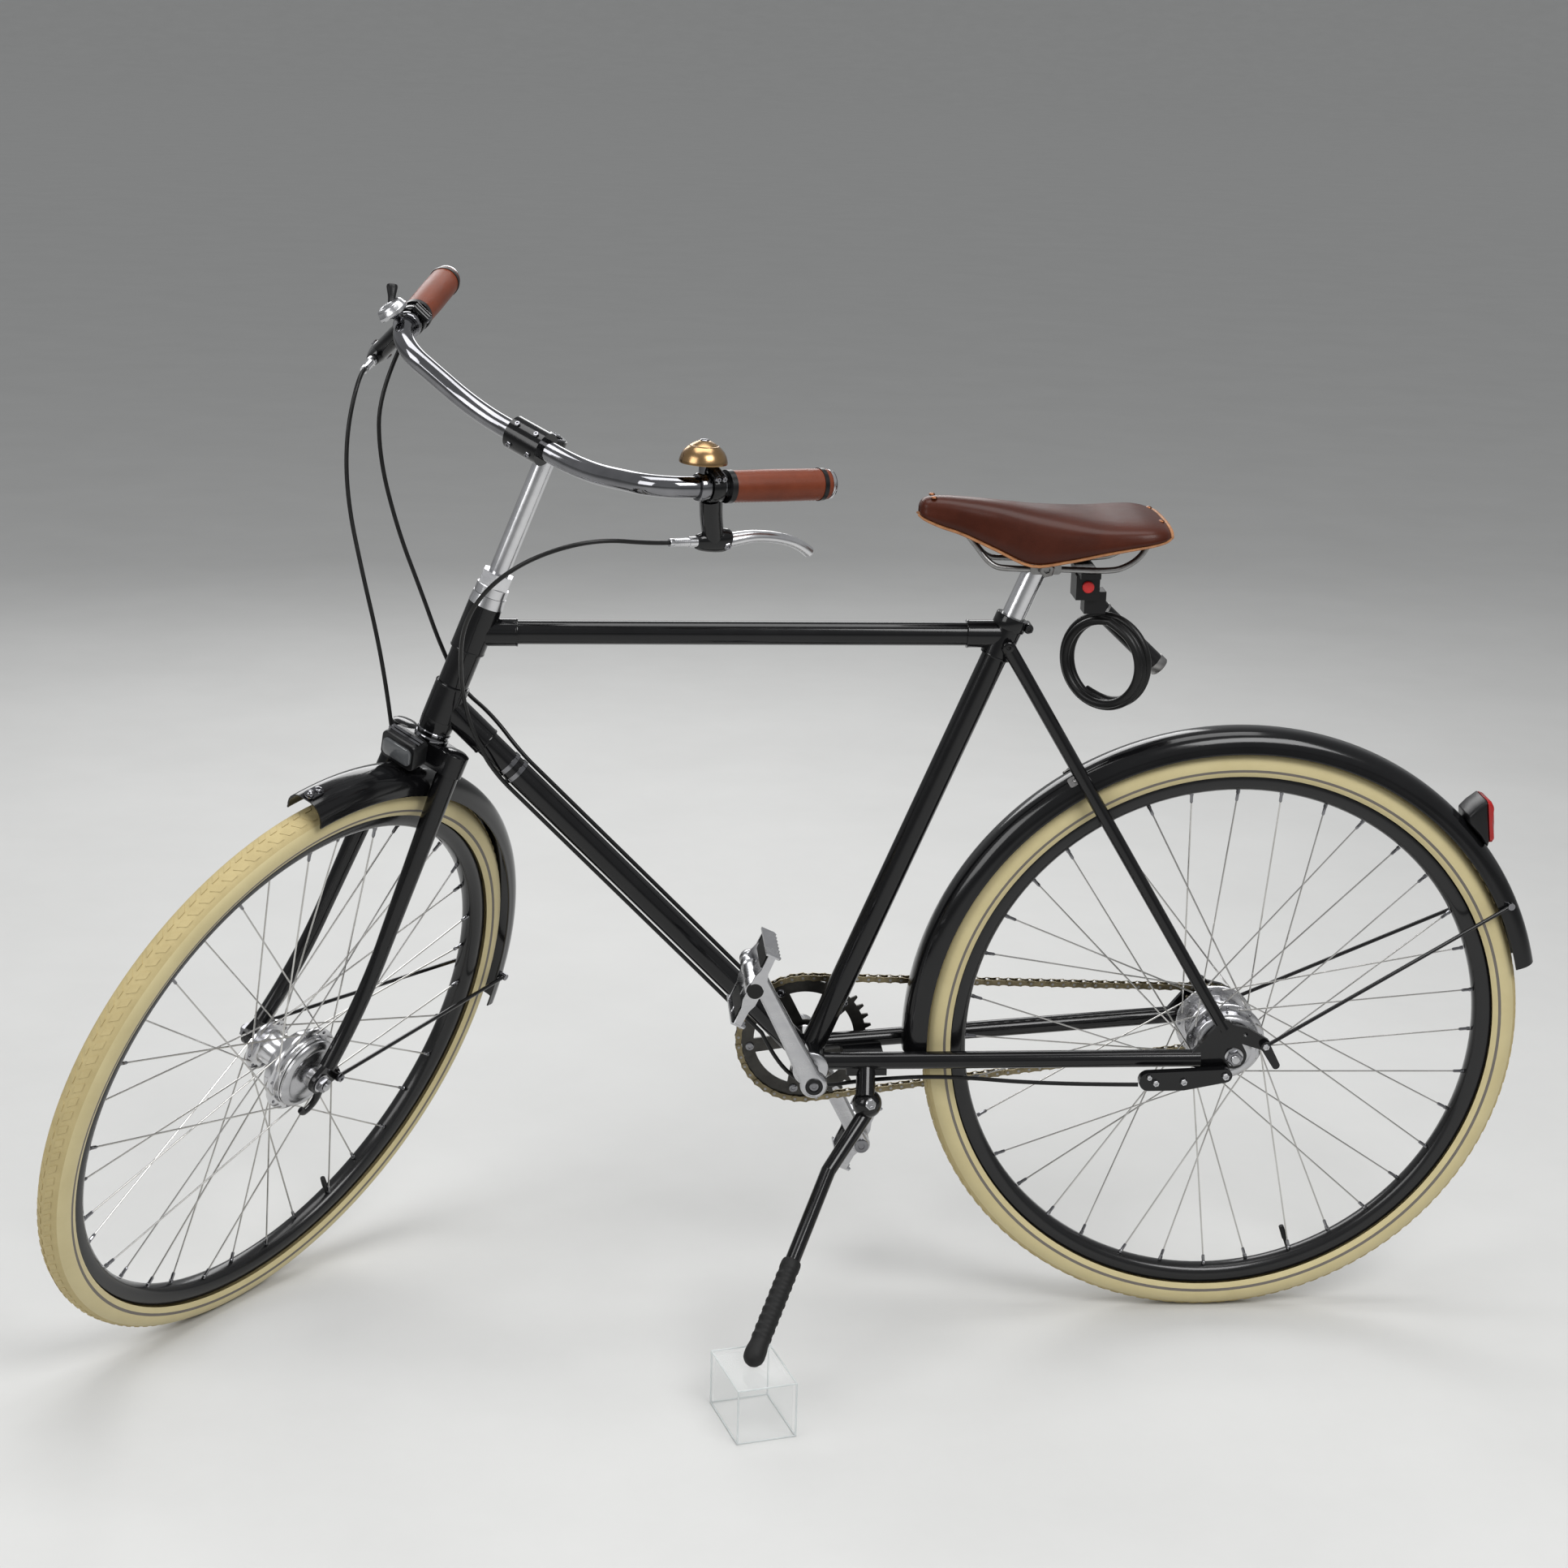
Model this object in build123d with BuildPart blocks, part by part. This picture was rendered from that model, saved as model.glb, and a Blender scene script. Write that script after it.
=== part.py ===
from build123d import *
import os
from math import acos, cos, degrees, pi, radians, sin, sqrt

os.makedirs("parts", exist_ok=True)

# City bicycle, diamond frame, parked on its side stand with the bars turned left.
# Millimetres. Every piece is drawn on the bicycle standing upright with its wheels in line:
# X forward, Y to the rider's left, Z up, origin on the floor half-way between the axles.
# The last section turns the bars, leans the bicycle onto its stand and writes the pieces.

# Parked attitude
lean_deg = 2.3
bars_turned_deg = 54.2
crank_raised_deg = 64.0
pedal_tilt_deg = 115.0

# Clearances
running_gap = 0.3
seat_gap = 0.2

# Wheels
wheelbase = 1086.0
tyre_radius = 350.0
tyre_section = 39.0
tread_flat = 7.0
tyre_seat = 33.0
rim_depth = 17.5
rim_width = 25.0
spoke_count = 36
spoke_crossings = 3
spoke_radius = 0.95
axle_radius = 5.0
nut_radius = 9.5
nut_length = 8.0

# Frame lines: lengths along the seat tube start at the crank, those along the head at its lower end
chain_stay_reach = 482.0
bracket_drop = 21.0
seat_angle = 67.5
head_angle = 67.6
fork_offset = 28.5
seat_tube_length = 565.0
seat_joint_drop = 21.6
stay_joint_drop = 31.0
head_length = 138.5
top_joint_drop = 33.5
down_joint_rise = 19.5

# Tube radii
head_radius = 17.0
head_wall = 3.4
top_radius = 13.2
down_radius = 14.5
seat_radius = 14.4
chain_stay_radius = 10.0
seat_stay_radius = 8.0
stay_taper = 1.0
shell_radius = 21.0
shell_width = 72.0
lug_wall = 2.2
cup_height = 12.0
cup_radius = 19.5
cup_draft = 1.0

# Rear end
dropout_inner = 63.0
dropout_thickness = 6.0
eyelet_radius = 2.5

# Drive
chain_pitch = 12.7
ring_teeth = 38
sprocket_teeth = 18
chain_line = 50.0
tooth_thickness = 2.8
plate_inner = 2.3
plate_outer = 3.6
plate_height = 8.0
crank_length = 170.0
arm_inner = 75.0
arm_thickness = 13.0
spindle_radius = 8.0
ring_seat_radius = 13.7
pedal_width = 80.0
cage_length = 90.0
cage_height = 20.0
cage_wall = 4.0
cage_corner = 12.0
pedal_barrel_radius = 9.0

# Steering parts
steerer_radius = 12.7
crown_gap = 8.4
crown_depth = 24.0
crown_to_head = 49.0
blade_spread_top = 37.0
blade_spread_bottom = 53.0
blade_radius_top = 13.0
blade_radius_bottom = 9.0
fork_end_thickness = 6.0
quill_radius = 11.1
quill_rise = 172.0
bar_radius = 11.1
bar_clamp_radius = 18.5
bar_clamp_width = 44.0
grip_length = 122.0
grip_radius = 16.0
bar_cap_length = 5.0

# Mudguards
guard_gap = 23.0
guard_half_width = 24.0
guard_wall = 1.8
guard_wire_radius = 2.3

# Seat
post_radius = 13.1
post_rise = 58.4
post_depth = 90.0
saddle_wall = 5.0
rail_radius = 3.5
rail_spread = 24.0

# Side stand and the clear riser under its foot
stand_axis = Vector(0.261, 0.373, 0.890).normalized()
stand_knuckle_radius = 17.0
stand_leg_radius = 8.5
foot_radius = 12.0
riser_width = 68.0
riser_depth = 98.0
riser_height = 64.0
riser_wall = 4.0
riser_turn_deg = 14.3
riser_place = (15.9, 272.6)

cable_radius = 2.4

seated = (Align.CENTER, Align.CENTER, Align.MIN)
left_right = (1, -1)
side = Vector(0, 1, 0)
up = Vector(0, 0, 1)
# longer than any piece, for cuts that run right through
through = 120.0


def rod(start, end, radius, end_radius=None, mode=Mode.ADD):
    """A round rod, or a taper, from one point to another in the part being built."""
    run = Vector(end) - Vector(start)
    with Locations(Plane(origin=start, z_dir=run)):
        if end_radius is None:
            Cylinder(radius, run.length, align=seated, mode=mode)
        else:
            Cone(radius, end_radius, run.length, align=seated, mode=mode)


def bent_rod(points, radius, bends):
    """A round rod along straight runs joined by tangent arcs."""
    with BuildLine() as path:
        FilletPolyline(*points, radius=bends)
    with BuildSketch(Plane(origin=path.line @ 0, z_dir=path.line % 0)) as section:
        Circle(radius)
    sweep(section.sketch, path=path.line)


def cable(points):
    """A cable along a route, each bend as wide as its two runs allow."""
    route = [Vector(point) for point in points]
    bends = []
    for before, corner, after in zip(route, route[1:], route[2:]):
        arriving = corner - before
        leaving = after - corner
        half_turn = radians(arriving.get_angle(leaving)) / 2
        bends.append(0.45 * min(arriving.length, leaving.length) * cos(half_turn) / sin(half_turn))
    bent_rod(route, cable_radius, bends)
    print("cable bends", [round(bend) for bend in bends])


def wheel_plane(centre, angle_deg):
    """A plane through an axle: X along the axle, Y outwards at an angle above straight ahead."""
    angle = radians(angle_deg)
    return Plane(origin=centre, x_dir=(0, 1, 0), z_dir=(sin(angle), 0, -cos(angle)))


def wheel_point(centre, radius, angle_deg, across):
    """A point at a radius and an angle above straight ahead, set across from the wheel's plane."""
    angle = radians(angle_deg)
    return centre + Vector(radius * cos(angle), across, radius * sin(angle))


def lathe(centre, outline, start_deg=90, arc_deg=360):
    """Turn an outline of (across, radius) points about an axle."""
    with BuildSketch(wheel_plane(centre, start_deg)) as section:
        with BuildLine():
            Polyline(*outline, close=True)
        make_face()
    revolve(section.sketch, axis=Axis(centre, (0, -1, 0)), revolution_arc=arc_deg)


def side_plane(centre, across):
    """A plane seen from the rider's right, X forward and Y up, set across from a centre."""
    return Plane(origin=centre + side * across, x_dir=(1, 0, 0), z_dir=(0, -1, 0))


def link_hull(circles):
    """The rounded outline that a belt round some (x, y, radius) circles would have."""
    with BuildSketch() as outline:
        for x, y, radius in circles:
            with Locations((x, y)):
                Circle(radius)
        make_hull()
    return outline.sketch


def turned(origin, direction, angle_deg):
    """The move that turns a piece about a line."""
    hinge = Plane(origin=origin, z_dir=direction).location
    return hinge * Location((0, 0, 0), (0, 0, angle_deg)) * hinge.inverse()


rear_axle = Vector(-wheelbase / 2, 0, tyre_radius)
front_axle = Vector(wheelbase / 2, 0, tyre_radius)
crank_centre = rear_axle + Vector(chain_stay_reach, 0, -bracket_drop)
seat_up = Vector(-cos(radians(seat_angle)), 0, sin(radians(seat_angle)))
steer_up = Vector(-cos(radians(head_angle)), 0, sin(radians(head_angle)))
steer_front = Vector(sin(radians(head_angle)), 0, cos(radians(head_angle)))
steer_foot = front_axle - steer_front * fork_offset

# Distances up the steering axis from the point beside the front axle
guard_radius = tyre_radius + guard_gap
crown_base = guard_radius + crown_gap
head_bottom = crown_base + crown_to_head
head_top = head_bottom + head_length
top_joint = head_top - top_joint_drop
down_joint = head_bottom + down_joint_rise
quill_top = head_top + quill_rise


def on_steering(distance):
    """The point of the steering axis at a distance above the front axle."""
    return steer_foot + steer_up * distance


def on_seat_tube(distance):
    """The point of the seat tube's axis at a distance above the crank."""
    return crank_centre + seat_up * distance


seat_joint = on_seat_tube(seat_tube_length - seat_joint_drop)
seat_top = on_seat_tube(seat_tube_length)
post_top = on_seat_tube(seat_tube_length + post_rise)
top_run = (on_steering(top_joint) - seat_joint).normalized()
down_run = (on_steering(down_joint) - crank_centre).normalized()

# Moves from the straight, upright bicycle to the parked one
steered = turned(steer_foot, steer_up, bars_turned_deg)
front_wheel_place = steered * Plane(origin=front_axle, z_dir=side).location
rear_wheel_place = Plane(origin=rear_axle, z_dir=side).location


def lowest(place):
    """Height of a standing wheel's lowest tread edge."""
    tilt = abs(Plane(place).z_dir.Z)
    return place.position.Z - tyre_radius * sqrt(1 - tilt**2) - tread_flat / 2 * tilt


nose_drop_deg = 0.0
for settle_step in range(8):
    leaned = Location((0, 0, 0), (-lean_deg, nose_drop_deg, 0))
    rear_low = lowest(leaned * rear_wheel_place)
    front_low = lowest(leaned * front_wheel_place)
    nose_drop_deg += degrees((front_low - rear_low) / wheelbase)
parked = Location((0, 0, -rear_low)) * leaned
parked_steered = parked * steered
on_floor = Location((0, 0, 0))


def head_bore(radius, mode=Mode.SUBTRACT):
    """A bar through the whole head, to cut what meets it."""
    rod(on_steering(head_bottom - through), on_steering(head_top + through), radius, mode=mode)


def shell_bar(radius, mode=Mode.SUBTRACT):
    """A bar across the crank shell, to cut what meets it."""
    rod(crank_centre - side * through, crank_centre + side * through, radius, mode=mode)


def seat_bar(radius, mode=Mode.SUBTRACT):
    """A bar along the seat tube and past its top, to cut what meets it."""
    rod(crank_centre, on_seat_tube(seat_tube_length + through), radius, mode=mode)


# Frame tubes
with BuildPart() as head_tube:
    rod(on_steering(head_bottom), on_steering(head_top), head_radius)
    head_bore(head_radius - head_wall)

with BuildPart() as top_tube:
    rod(seat_joint, on_steering(top_joint), top_radius)
    seat_bar(seat_radius)
    head_bore(head_radius)

with BuildPart() as down_tube:
    rod(crank_centre, on_steering(down_joint), down_radius)
    head_bore(head_radius)
    rod(on_steering(head_bottom - through), on_steering(head_bottom), cup_radius + seat_gap, mode=Mode.SUBTRACT)
    shell_bar(shell_radius)

with BuildPart() as seat_tube:
    rod(crank_centre, seat_top, seat_radius)
    shell_bar(shell_radius)
    rod(crank_centre, on_steering(down_joint), down_radius, mode=Mode.SUBTRACT)
    rod(on_seat_tube(seat_tube_length - post_depth), on_seat_tube(seat_tube_length + through),
        post_radius + running_gap / 2, mode=Mode.SUBTRACT)

with BuildPart() as bracket_shell:
    rod(crank_centre - side * shell_width / 2, crank_centre + side * shell_width / 2, shell_radius)
    shell_bar(spindle_radius + running_gap)

chain_stay_front = (26.0, 4.0)
chain_stay_rear = (38.0, 64.0, -3.0)
seat_stay_top = (4.0, 19.0)
seat_stay_bottom = (12.0, 64.0, 32.0)
chain_stay_line = {}
seat_stay_line = {}
for hand in left_right:
    chain_stay_line[hand] = (
        crank_centre + Vector(0, hand * chain_stay_front[0], chain_stay_front[1]),
        rear_axle + Vector(chain_stay_rear[0], hand * chain_stay_rear[1], chain_stay_rear[2]),
    )
    seat_stay_line[hand] = (
        on_seat_tube(seat_tube_length - stay_joint_drop) + Vector(-seat_stay_top[0], hand * seat_stay_top[1], 0),
        rear_axle + Vector(seat_stay_bottom[0], hand * seat_stay_bottom[1], seat_stay_bottom[2]),
    )


def chain_stay(hand, radius, mode=Mode.ADD):
    """One chain stay, or a cut for it."""
    rod(*chain_stay_line[hand], radius, mode=mode)


def seat_stay(hand, mode=Mode.ADD):
    """One seat stay, or a cut for it."""
    rod(*seat_stay_line[hand], seat_stay_radius, seat_stay_radius - stay_taper, mode=mode)


with BuildPart() as chain_stays:
    for hand in left_right:
        chain_stay(hand, chain_stay_radius)
    shell_bar(shell_radius)

with BuildPart() as seat_stays:
    for hand in left_right:
        seat_stay(hand)
    seat_bar(seat_radius)

# Rear fork ends, seen from the side: (x, z, radius) circles about the axle joined by rounded plates
rack_eyelet = (-12.0, 27.0)
guard_eyelet = (-35.0, 14.0)
dropout_web = (
    (0, 0, 15),
    (chain_stay_rear[0] + 4, chain_stay_rear[2], 10),
    (seat_stay_bottom[0], seat_stay_bottom[2] + 4, 9),
)
dropout_ear = ((seat_stay_bottom[0], seat_stay_bottom[2], 9), (*rack_eyelet, 8), (*guard_eyelet, 7))
dropout_hook = ((*guard_eyelet, 6), (-50, -12, 4.5))
with BuildPart() as dropouts:
    for hand in left_right:
        plate_place = side_plane(rear_axle, dropout_inner + dropout_thickness if hand > 0 else -dropout_inner)
        for circles in (dropout_web, dropout_ear, dropout_hook):
            extrude(plate_place * link_hull(circles), amount=dropout_thickness, dir=-side)
        for place, radius in (
            ((0, 0), axle_radius + running_gap / 2),
            (rack_eyelet, eyelet_radius),
            (guard_eyelet, eyelet_radius),
        ):
            hole = rear_axle + Vector(place[0], 0, place[1])
            rod(hole, hole + side * hand * through, radius, mode=Mode.SUBTRACT)
        chain_stay(hand, chain_stay_radius, mode=Mode.SUBTRACT)
        seat_stay(hand, mode=Mode.SUBTRACT)

# Lug sleeves at the tube joints, each as (start, end, tube radius)
lug_reach = {"top_front": 46.0, "down": 62.0, "top_rear": 42.0, "head_upper": 20.0, "head_lower": 41.0, "seat": 26.0}
lug_sleeves = (
    (on_steering(top_joint - lug_reach["head_upper"]), on_steering(head_top), head_radius),
    (on_steering(top_joint), on_steering(top_joint) - top_run * lug_reach["top_front"], top_radius),
    (on_steering(head_bottom), on_steering(head_bottom + lug_reach["head_lower"]), head_radius),
    (on_steering(down_joint), on_steering(down_joint) - down_run * lug_reach["down"], down_radius),
    (on_seat_tube(seat_tube_length - seat_joint_drop - lug_reach["seat"]), seat_top, seat_radius),
    (seat_joint, seat_joint + top_run * lug_reach["top_rear"], top_radius),
)
with BuildPart() as lugs:
    for start, end, tube_radius in lug_sleeves:
        rod(start, end, tube_radius + lug_wall)
    head_bore(head_radius)
    seat_bar(seat_radius)
    rod(seat_joint, on_steering(top_joint), top_radius, mode=Mode.SUBTRACT)
    rod(crank_centre, on_steering(down_joint), down_radius, mode=Mode.SUBTRACT)
    rod(on_steering(head_bottom - through), on_steering(head_bottom), cup_radius + seat_gap, mode=Mode.SUBTRACT)
    for hand in left_right:
        seat_stay(hand, mode=Mode.SUBTRACT)

with BuildPart() as headset_cups:
    for face, away in ((head_top, cup_height), (head_bottom, -cup_height)):
        rod(on_steering(face), on_steering(face + away), cup_radius, cup_radius - cup_draft)
    head_bore(steerer_radius + running_gap)

band_places = (96.0, 108.0)
band_width = 5.0
band_wall = 1.2
with BuildPart() as tube_bands:
    for band in band_places:
        band_foot = on_steering(down_joint) - down_run * band
        rod(band_foot, band_foot - down_run * band_width, down_radius + band_wall)
    rod(crank_centre, on_steering(down_joint), down_radius, mode=Mode.SUBTRACT)

# Seat, measured from the top of the post
post_foot_gap = 2.0
with BuildPart() as seat_post:
    rod(on_seat_tube(seat_tube_length - post_depth + post_foot_gap), post_top, post_radius)

saddle_sections = (
    # ahead, half width, crown height, flank height, lower edge height
    (130, 15, 79, 67, 57),
    (85, 25, 80, 61, 45),
    (10, 46, 72, 43, 13),
    (-60, 72, 63, 40, 23),
    (-125, 80, 60, 45, 29),
    (-152, 68, 52, 41, 31),
)


def saddle_outline(section, wall):
    """Arch across the saddle: a crown arc over two flanks, closed by a chord below."""
    ahead, half_width, crown, flank, edge = section
    half_width -= wall
    crown -= wall
    foot = edge - wall
    with BuildSketch(Plane(origin=post_top + Vector(ahead, 0, 0), x_dir=(0, 1, 0), z_dir=(1, 0, 0))) as arch:
        with BuildLine():
            ThreePointArc((-half_width, flank), (0, crown), (half_width, flank))
            Polyline((half_width, flank), (half_width, foot), (-half_width, foot), (-half_width, flank))
        make_face()
    return arch.sketch


with BuildPart() as saddle_leather:
    loft([saddle_outline(section, 0) for section in saddle_sections], ruled=True)
    hollow = [saddle_outline(section, saddle_wall) for section in saddle_sections[1:-1]]
    loft(hollow, ruled=True, mode=Mode.SUBTRACT)

rail_height = 6.0
saddle_rail = (
    # ahead, across, height
    (82, 7, 45),
    (46, rail_spread, rail_height),
    (-78, rail_spread + 8, rail_height - 1),
    (-116, rail_spread + 4, rail_height - 1),
)
rail_bends = (24, 40, 18, 18, 40, 24)
rail_strut = (-100.0, 48.1)
seat_clamp = (34.0, 2 * rail_spread + 14, 13.0)
with BuildPart() as saddle_rails:
    loop = [post_top + Vector(ahead, across, height) for ahead, across, height in saddle_rail]
    loop += [post_top + Vector(ahead, -across, height) for ahead, across, height in reversed(saddle_rail)]
    bent_rod(loop, rail_radius, rail_bends)
    for hand in left_right:
        strut_foot = post_top + Vector(rail_strut[0], hand * (rail_spread + 6), rail_height - 1)
        rod(strut_foot, strut_foot + up * rail_strut[1], rail_radius - 0.5)
    with Locations(Location(post_top + Vector(-6, 0, seat_clamp[2] / 2 + seat_gap))):
        Box(*seat_clamp)
    rod(seat_top, post_top + seat_up * seat_gap, post_radius + seat_gap, mode=Mode.SUBTRACT)

# Coiled lock that hangs from the saddle rails
lock_clamp = (22.0, 2 * rail_spread + 16, 6.0)
lock_middle = post_top + Vector(-56, 0, rail_height - 1 - rail_radius - seat_gap)
lock_block = (26.0, 34.0, 27.0)
coil_axis = Vector(-0.64, -0.77, 0).normalized()
coil_outer = 58.0
coil_inner = 38.0
coil_length = 34.0
coil_middle = post_top + Vector(-84, -6, -107)
barrel_radius = 11.0
barrel_start = post_top + Vector(-81, -54, -56)
barrel_end = post_top + Vector(-157, -54, -128)
barrel_run = (barrel_end - barrel_start).normalized()
collar_length = 14.0
with BuildPart() as lock_bracket:
    with Locations(Location(lock_middle - up * lock_clamp[2] / 2)):
        Box(*lock_clamp)
    with Locations(Location(lock_middle - up * (lock_clamp[2] + lock_block[2] / 2))):
        Box(*lock_block)
    hanger_top = lock_middle - up * (lock_clamp[2] + lock_block[2] - 8)
    hanger_foot = coil_middle + Vector(18, 6, coil_outer + running_gap)
    with Locations(Location((hanger_foot.X, hanger_foot.Y, hanger_foot.Z))):
        Box(24, 22, hanger_top.Z - hanger_foot.Z, align=seated)
    collar_foot = barrel_start - barrel_run * collar_length
    rod(collar_foot, barrel_start - barrel_run * running_gap, barrel_radius + 1)
    rod(hanger_top - up * 4, collar_foot + barrel_run * collar_length / 2, barrel_radius - 3)

with BuildPart() as lock_coil:
    with BuildSketch(Plane(origin=coil_middle - coil_axis * coil_length / 2, z_dir=coil_axis)) as ring:
        Circle(coil_outer)
        Circle(coil_inner, mode=Mode.SUBTRACT)
    extrude(ring.sketch, amount=coil_length)

with BuildPart() as lock_barrel:
    rod(barrel_start, barrel_end, barrel_radius)

# Wheels
tread_half = tread_flat / 2
tyre_half = tyre_section / 2
rim_edge_radius = tyre_radius - tyre_seat
section_centre = tyre_radius - tyre_half
bead_half = sqrt(tyre_half**2 - (section_centre - rim_edge_radius) ** 2)
tyre_sides = (50, 92)
tyre_profile = [(bead_half, rim_edge_radius + seat_gap)]
for turn in reversed(tyre_sides):
    tyre_profile.append((tyre_half * sin(radians(turn)), section_centre + tyre_half * cos(radians(turn))))
tyre_profile.append((tread_half, tyre_radius))
tyre_profile += [(-across, radius) for across, radius in reversed(tyre_profile)]

rim_half = rim_width / 2
rim_floor = rim_edge_radius - rim_depth
rim_profile = (
    (-rim_half, rim_edge_radius),
    (rim_half, rim_edge_radius),
    (rim_half - 1, rim_edge_radius - 10),
    (rim_half - 7, rim_floor),
    (7 - rim_half, rim_floor),
    (1 - rim_half, rim_edge_radius - 10),
)

hub_bore = axle_radius + running_gap
rear_hub_profile = (
    # across, radius
    (-40, hub_bore), (-40, 20), (-33, 22), (-33, 46), (-29, 46), (-29, 37), (-27, 34), (20, 34),
    (22, 37), (22, 46), (26, 46), (26, 38), (35, 38), (35, hub_bore),
)
front_hub_profile = (
    (-36, hub_bore), (-36, 14), (-31, 16), (-31, 32), (-27.5, 32), (-27.5, 24), (-25, 19), (2, 19),
    (8, 43), (22, 45), (22, 52), (26, 52), (26, 43), (33, 43), (33, hub_bore),
)
rear_drum_cover = ((36, 38), (43, 34), (45, 16))
front_drum_cover = ((34, 42), (40, 36), (41, 12))
# middle, hole radius, half thickness
rear_flanges = ((-31.0, 42.0, 2.0), (24.0, 42.0, 2.0))
front_flanges = ((-29.25, 28.0, 1.75), (24.0, 48.0, 2.0))


def lace(centre, flanges):
    """Crossed spokes from both faces of the hub's two flanges to the rim."""
    holes = spoke_count // 2
    step = 360 / holes
    swing = 720 * spoke_crossings / spoke_count
    rim_reach = rim_floor - running_gap
    rim_offset = 3.0
    head_lean = 1.1
    for flange, (middle, hole_radius, half_thickness) in enumerate(flanges):
        for hole in range(holes):
            angle = step * (hole + flange / 2)
            lead = 1 if hole % 2 else -1
            across = middle + lead * (half_thickness + spoke_radius + seat_gap / 2)
            if lead * middle > 0:
                across += lead * head_lean
            start = wheel_point(centre, hole_radius, angle, across)
            end = wheel_point(centre, rim_reach, angle + lead * swing, rim_offset if middle > 0 else -rim_offset)
            rod(start, end, spoke_radius)


with BuildPart() as rear_tyre:
    lathe(rear_axle, tyre_profile)
with BuildPart() as rear_rim:
    lathe(rear_axle, rim_profile)
with BuildPart() as rear_hub:
    lathe(rear_axle, rear_hub_profile)
with BuildPart() as rear_spokes:
    lace(rear_axle, rear_flanges)
with BuildPart() as front_tyre:
    lathe(front_axle, tyre_profile)
with BuildPart() as front_rim:
    lathe(front_axle, rim_profile)
with BuildPart() as front_hub:
    lathe(front_axle, front_hub_profile)
with BuildPart() as front_spokes:
    lace(front_axle, front_flanges)


def fixed_axle(centre, inner_face, outer_face, cover):
    """A fixed axle with a nut on each end and a still drum cover beside the turning hub."""
    reach = outer_face + seat_gap + nut_length + 3
    rod(centre - side * reach, centre + side * reach, axle_radius)
    for hand in left_right:
        with BuildSketch(Plane(origin=centre + side * hand * (outer_face + seat_gap), z_dir=side * hand)) as nut:
            RegularPolygon(nut_radius, 6)
        extrude(nut.sketch, amount=nut_length)
    shoulder = inner_face - seat_gap
    neck = cover[-1][1] - 2
    lathe(centre, ((cover[0][0], 0), *cover, (shoulder, neck), (shoulder, 0)))


with BuildPart() as rear_axle_rod:
    fixed_axle(rear_axle, dropout_inner, dropout_inner + dropout_thickness, rear_drum_cover)
with BuildPart() as front_axle_rod:
    fixed_axle(front_axle, blade_spread_bottom - fork_end_thickness / 2,
               blade_spread_bottom + fork_end_thickness / 2, front_drum_cover)

# Brake reaction arm along the left chain stay, (x, z, radius) circles about the rear axle
arm_clear = 6.0
arm_width = 10.0
brake_arm = ((12, -17, 8), (60, -23, 11), (100, -23, 11))
arm_boss_radius = 6.5
with BuildPart() as rear_brake_arm:
    arm_face = dropout_inner + dropout_thickness + arm_clear
    extrude(side_plane(rear_axle, arm_face + arm_width) * link_hull(brake_arm), amount=arm_width, dir=-side)
    boss = rear_axle + Vector(brake_arm[0][0], 0, brake_arm[0][1])
    rod(boss + side * (arm_face - arm_clear + seat_gap), boss + side * arm_face, arm_boss_radius)

# Sprocket and chainring
ring_pitch_radius = chain_pitch / 2 / sin(pi / ring_teeth)
sprocket_pitch_radius = chain_pitch / 2 / sin(pi / sprocket_teeth)
# one tooth as (share of the pitch, reach beyond the pitch circle)
tooth_shape = ((-0.27, -3.9), (-0.10, 3.2), (0.10, 3.2), (0.27, -3.9))


def toothed_disc(centre, teeth, pitch_radius):
    """The outline of a toothed wheel on the chain line, ready to extrude to the right."""
    points = []
    for tooth in range(teeth):
        for share, reach in tooth_shape:
            angle = 2 * pi * (tooth + share) / teeth
            points.append(((pitch_radius + reach) * cos(angle), (pitch_radius + reach) * sin(angle)))
    with BuildSketch(side_plane(centre, tooth_thickness / 2 - chain_line)) as disc:
        with BuildLine():
            Polyline(*points, close=True)
        make_face()
    return disc.sketch


sprocket_boss = ((-57, 15), (-40.5, 18))
with BuildPart() as sprocket:
    extrude(toothed_disc(rear_axle, sprocket_teeth, sprocket_pitch_radius), amount=tooth_thickness)
    lathe(rear_axle, ((sprocket_boss[0][0], 0), *sprocket_boss, (sprocket_boss[1][0], 0)))
    rod(rear_axle - side * through, rear_axle, hub_bore, mode=Mode.SUBTRACT)

spider_arms = 5
spider_width = 17.0
spider_hub_radius = 24.0
ring_band = 18.0
with BuildPart() as chainring:
    extrude(toothed_disc(crank_centre, ring_teeth, ring_pitch_radius), amount=tooth_thickness)
    ring_place = side_plane(crank_centre, tooth_thickness / 2 - chain_line)
    with BuildSketch(ring_place) as window:
        Circle(ring_pitch_radius - ring_band)
        Circle(spider_hub_radius, mode=Mode.SUBTRACT)
        with PolarLocations(ring_pitch_radius / 2, spider_arms):
            Rectangle(ring_pitch_radius, spider_width, mode=Mode.SUBTRACT)
    extrude(window.sketch, amount=tooth_thickness, mode=Mode.SUBTRACT)
    shell_bar(ring_seat_radius + running_gap)

# Chain: pairs of plates round the toothed wheels, where the teeth stand between them, and solid links
# on the two straight runs
chain_rear = rear_axle - side * chain_line
chain_front = crank_centre - side * chain_line
centre_line = chain_front - chain_rear
line_tilt = -acos(centre_line.X / centre_line.length)
leave_angle = pi - acos((ring_pitch_radius - sprocket_pitch_radius) / centre_line.length)


def tangent_point(centre, pitch_radius, upper):
    """Where the upper or lower straight run leaves a toothed wheel."""
    angle = line_tilt + upper * leave_angle
    return centre + Vector(pitch_radius * cos(angle), 0, pitch_radius * sin(angle))


plate_lead = {"rear": 26.0, "front": 37.0}
link_widths = (9.0, 6.6)
link_height = plate_height - 2 * running_gap
link_chamfer = 2.4
link_gap = 0.1
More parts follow.
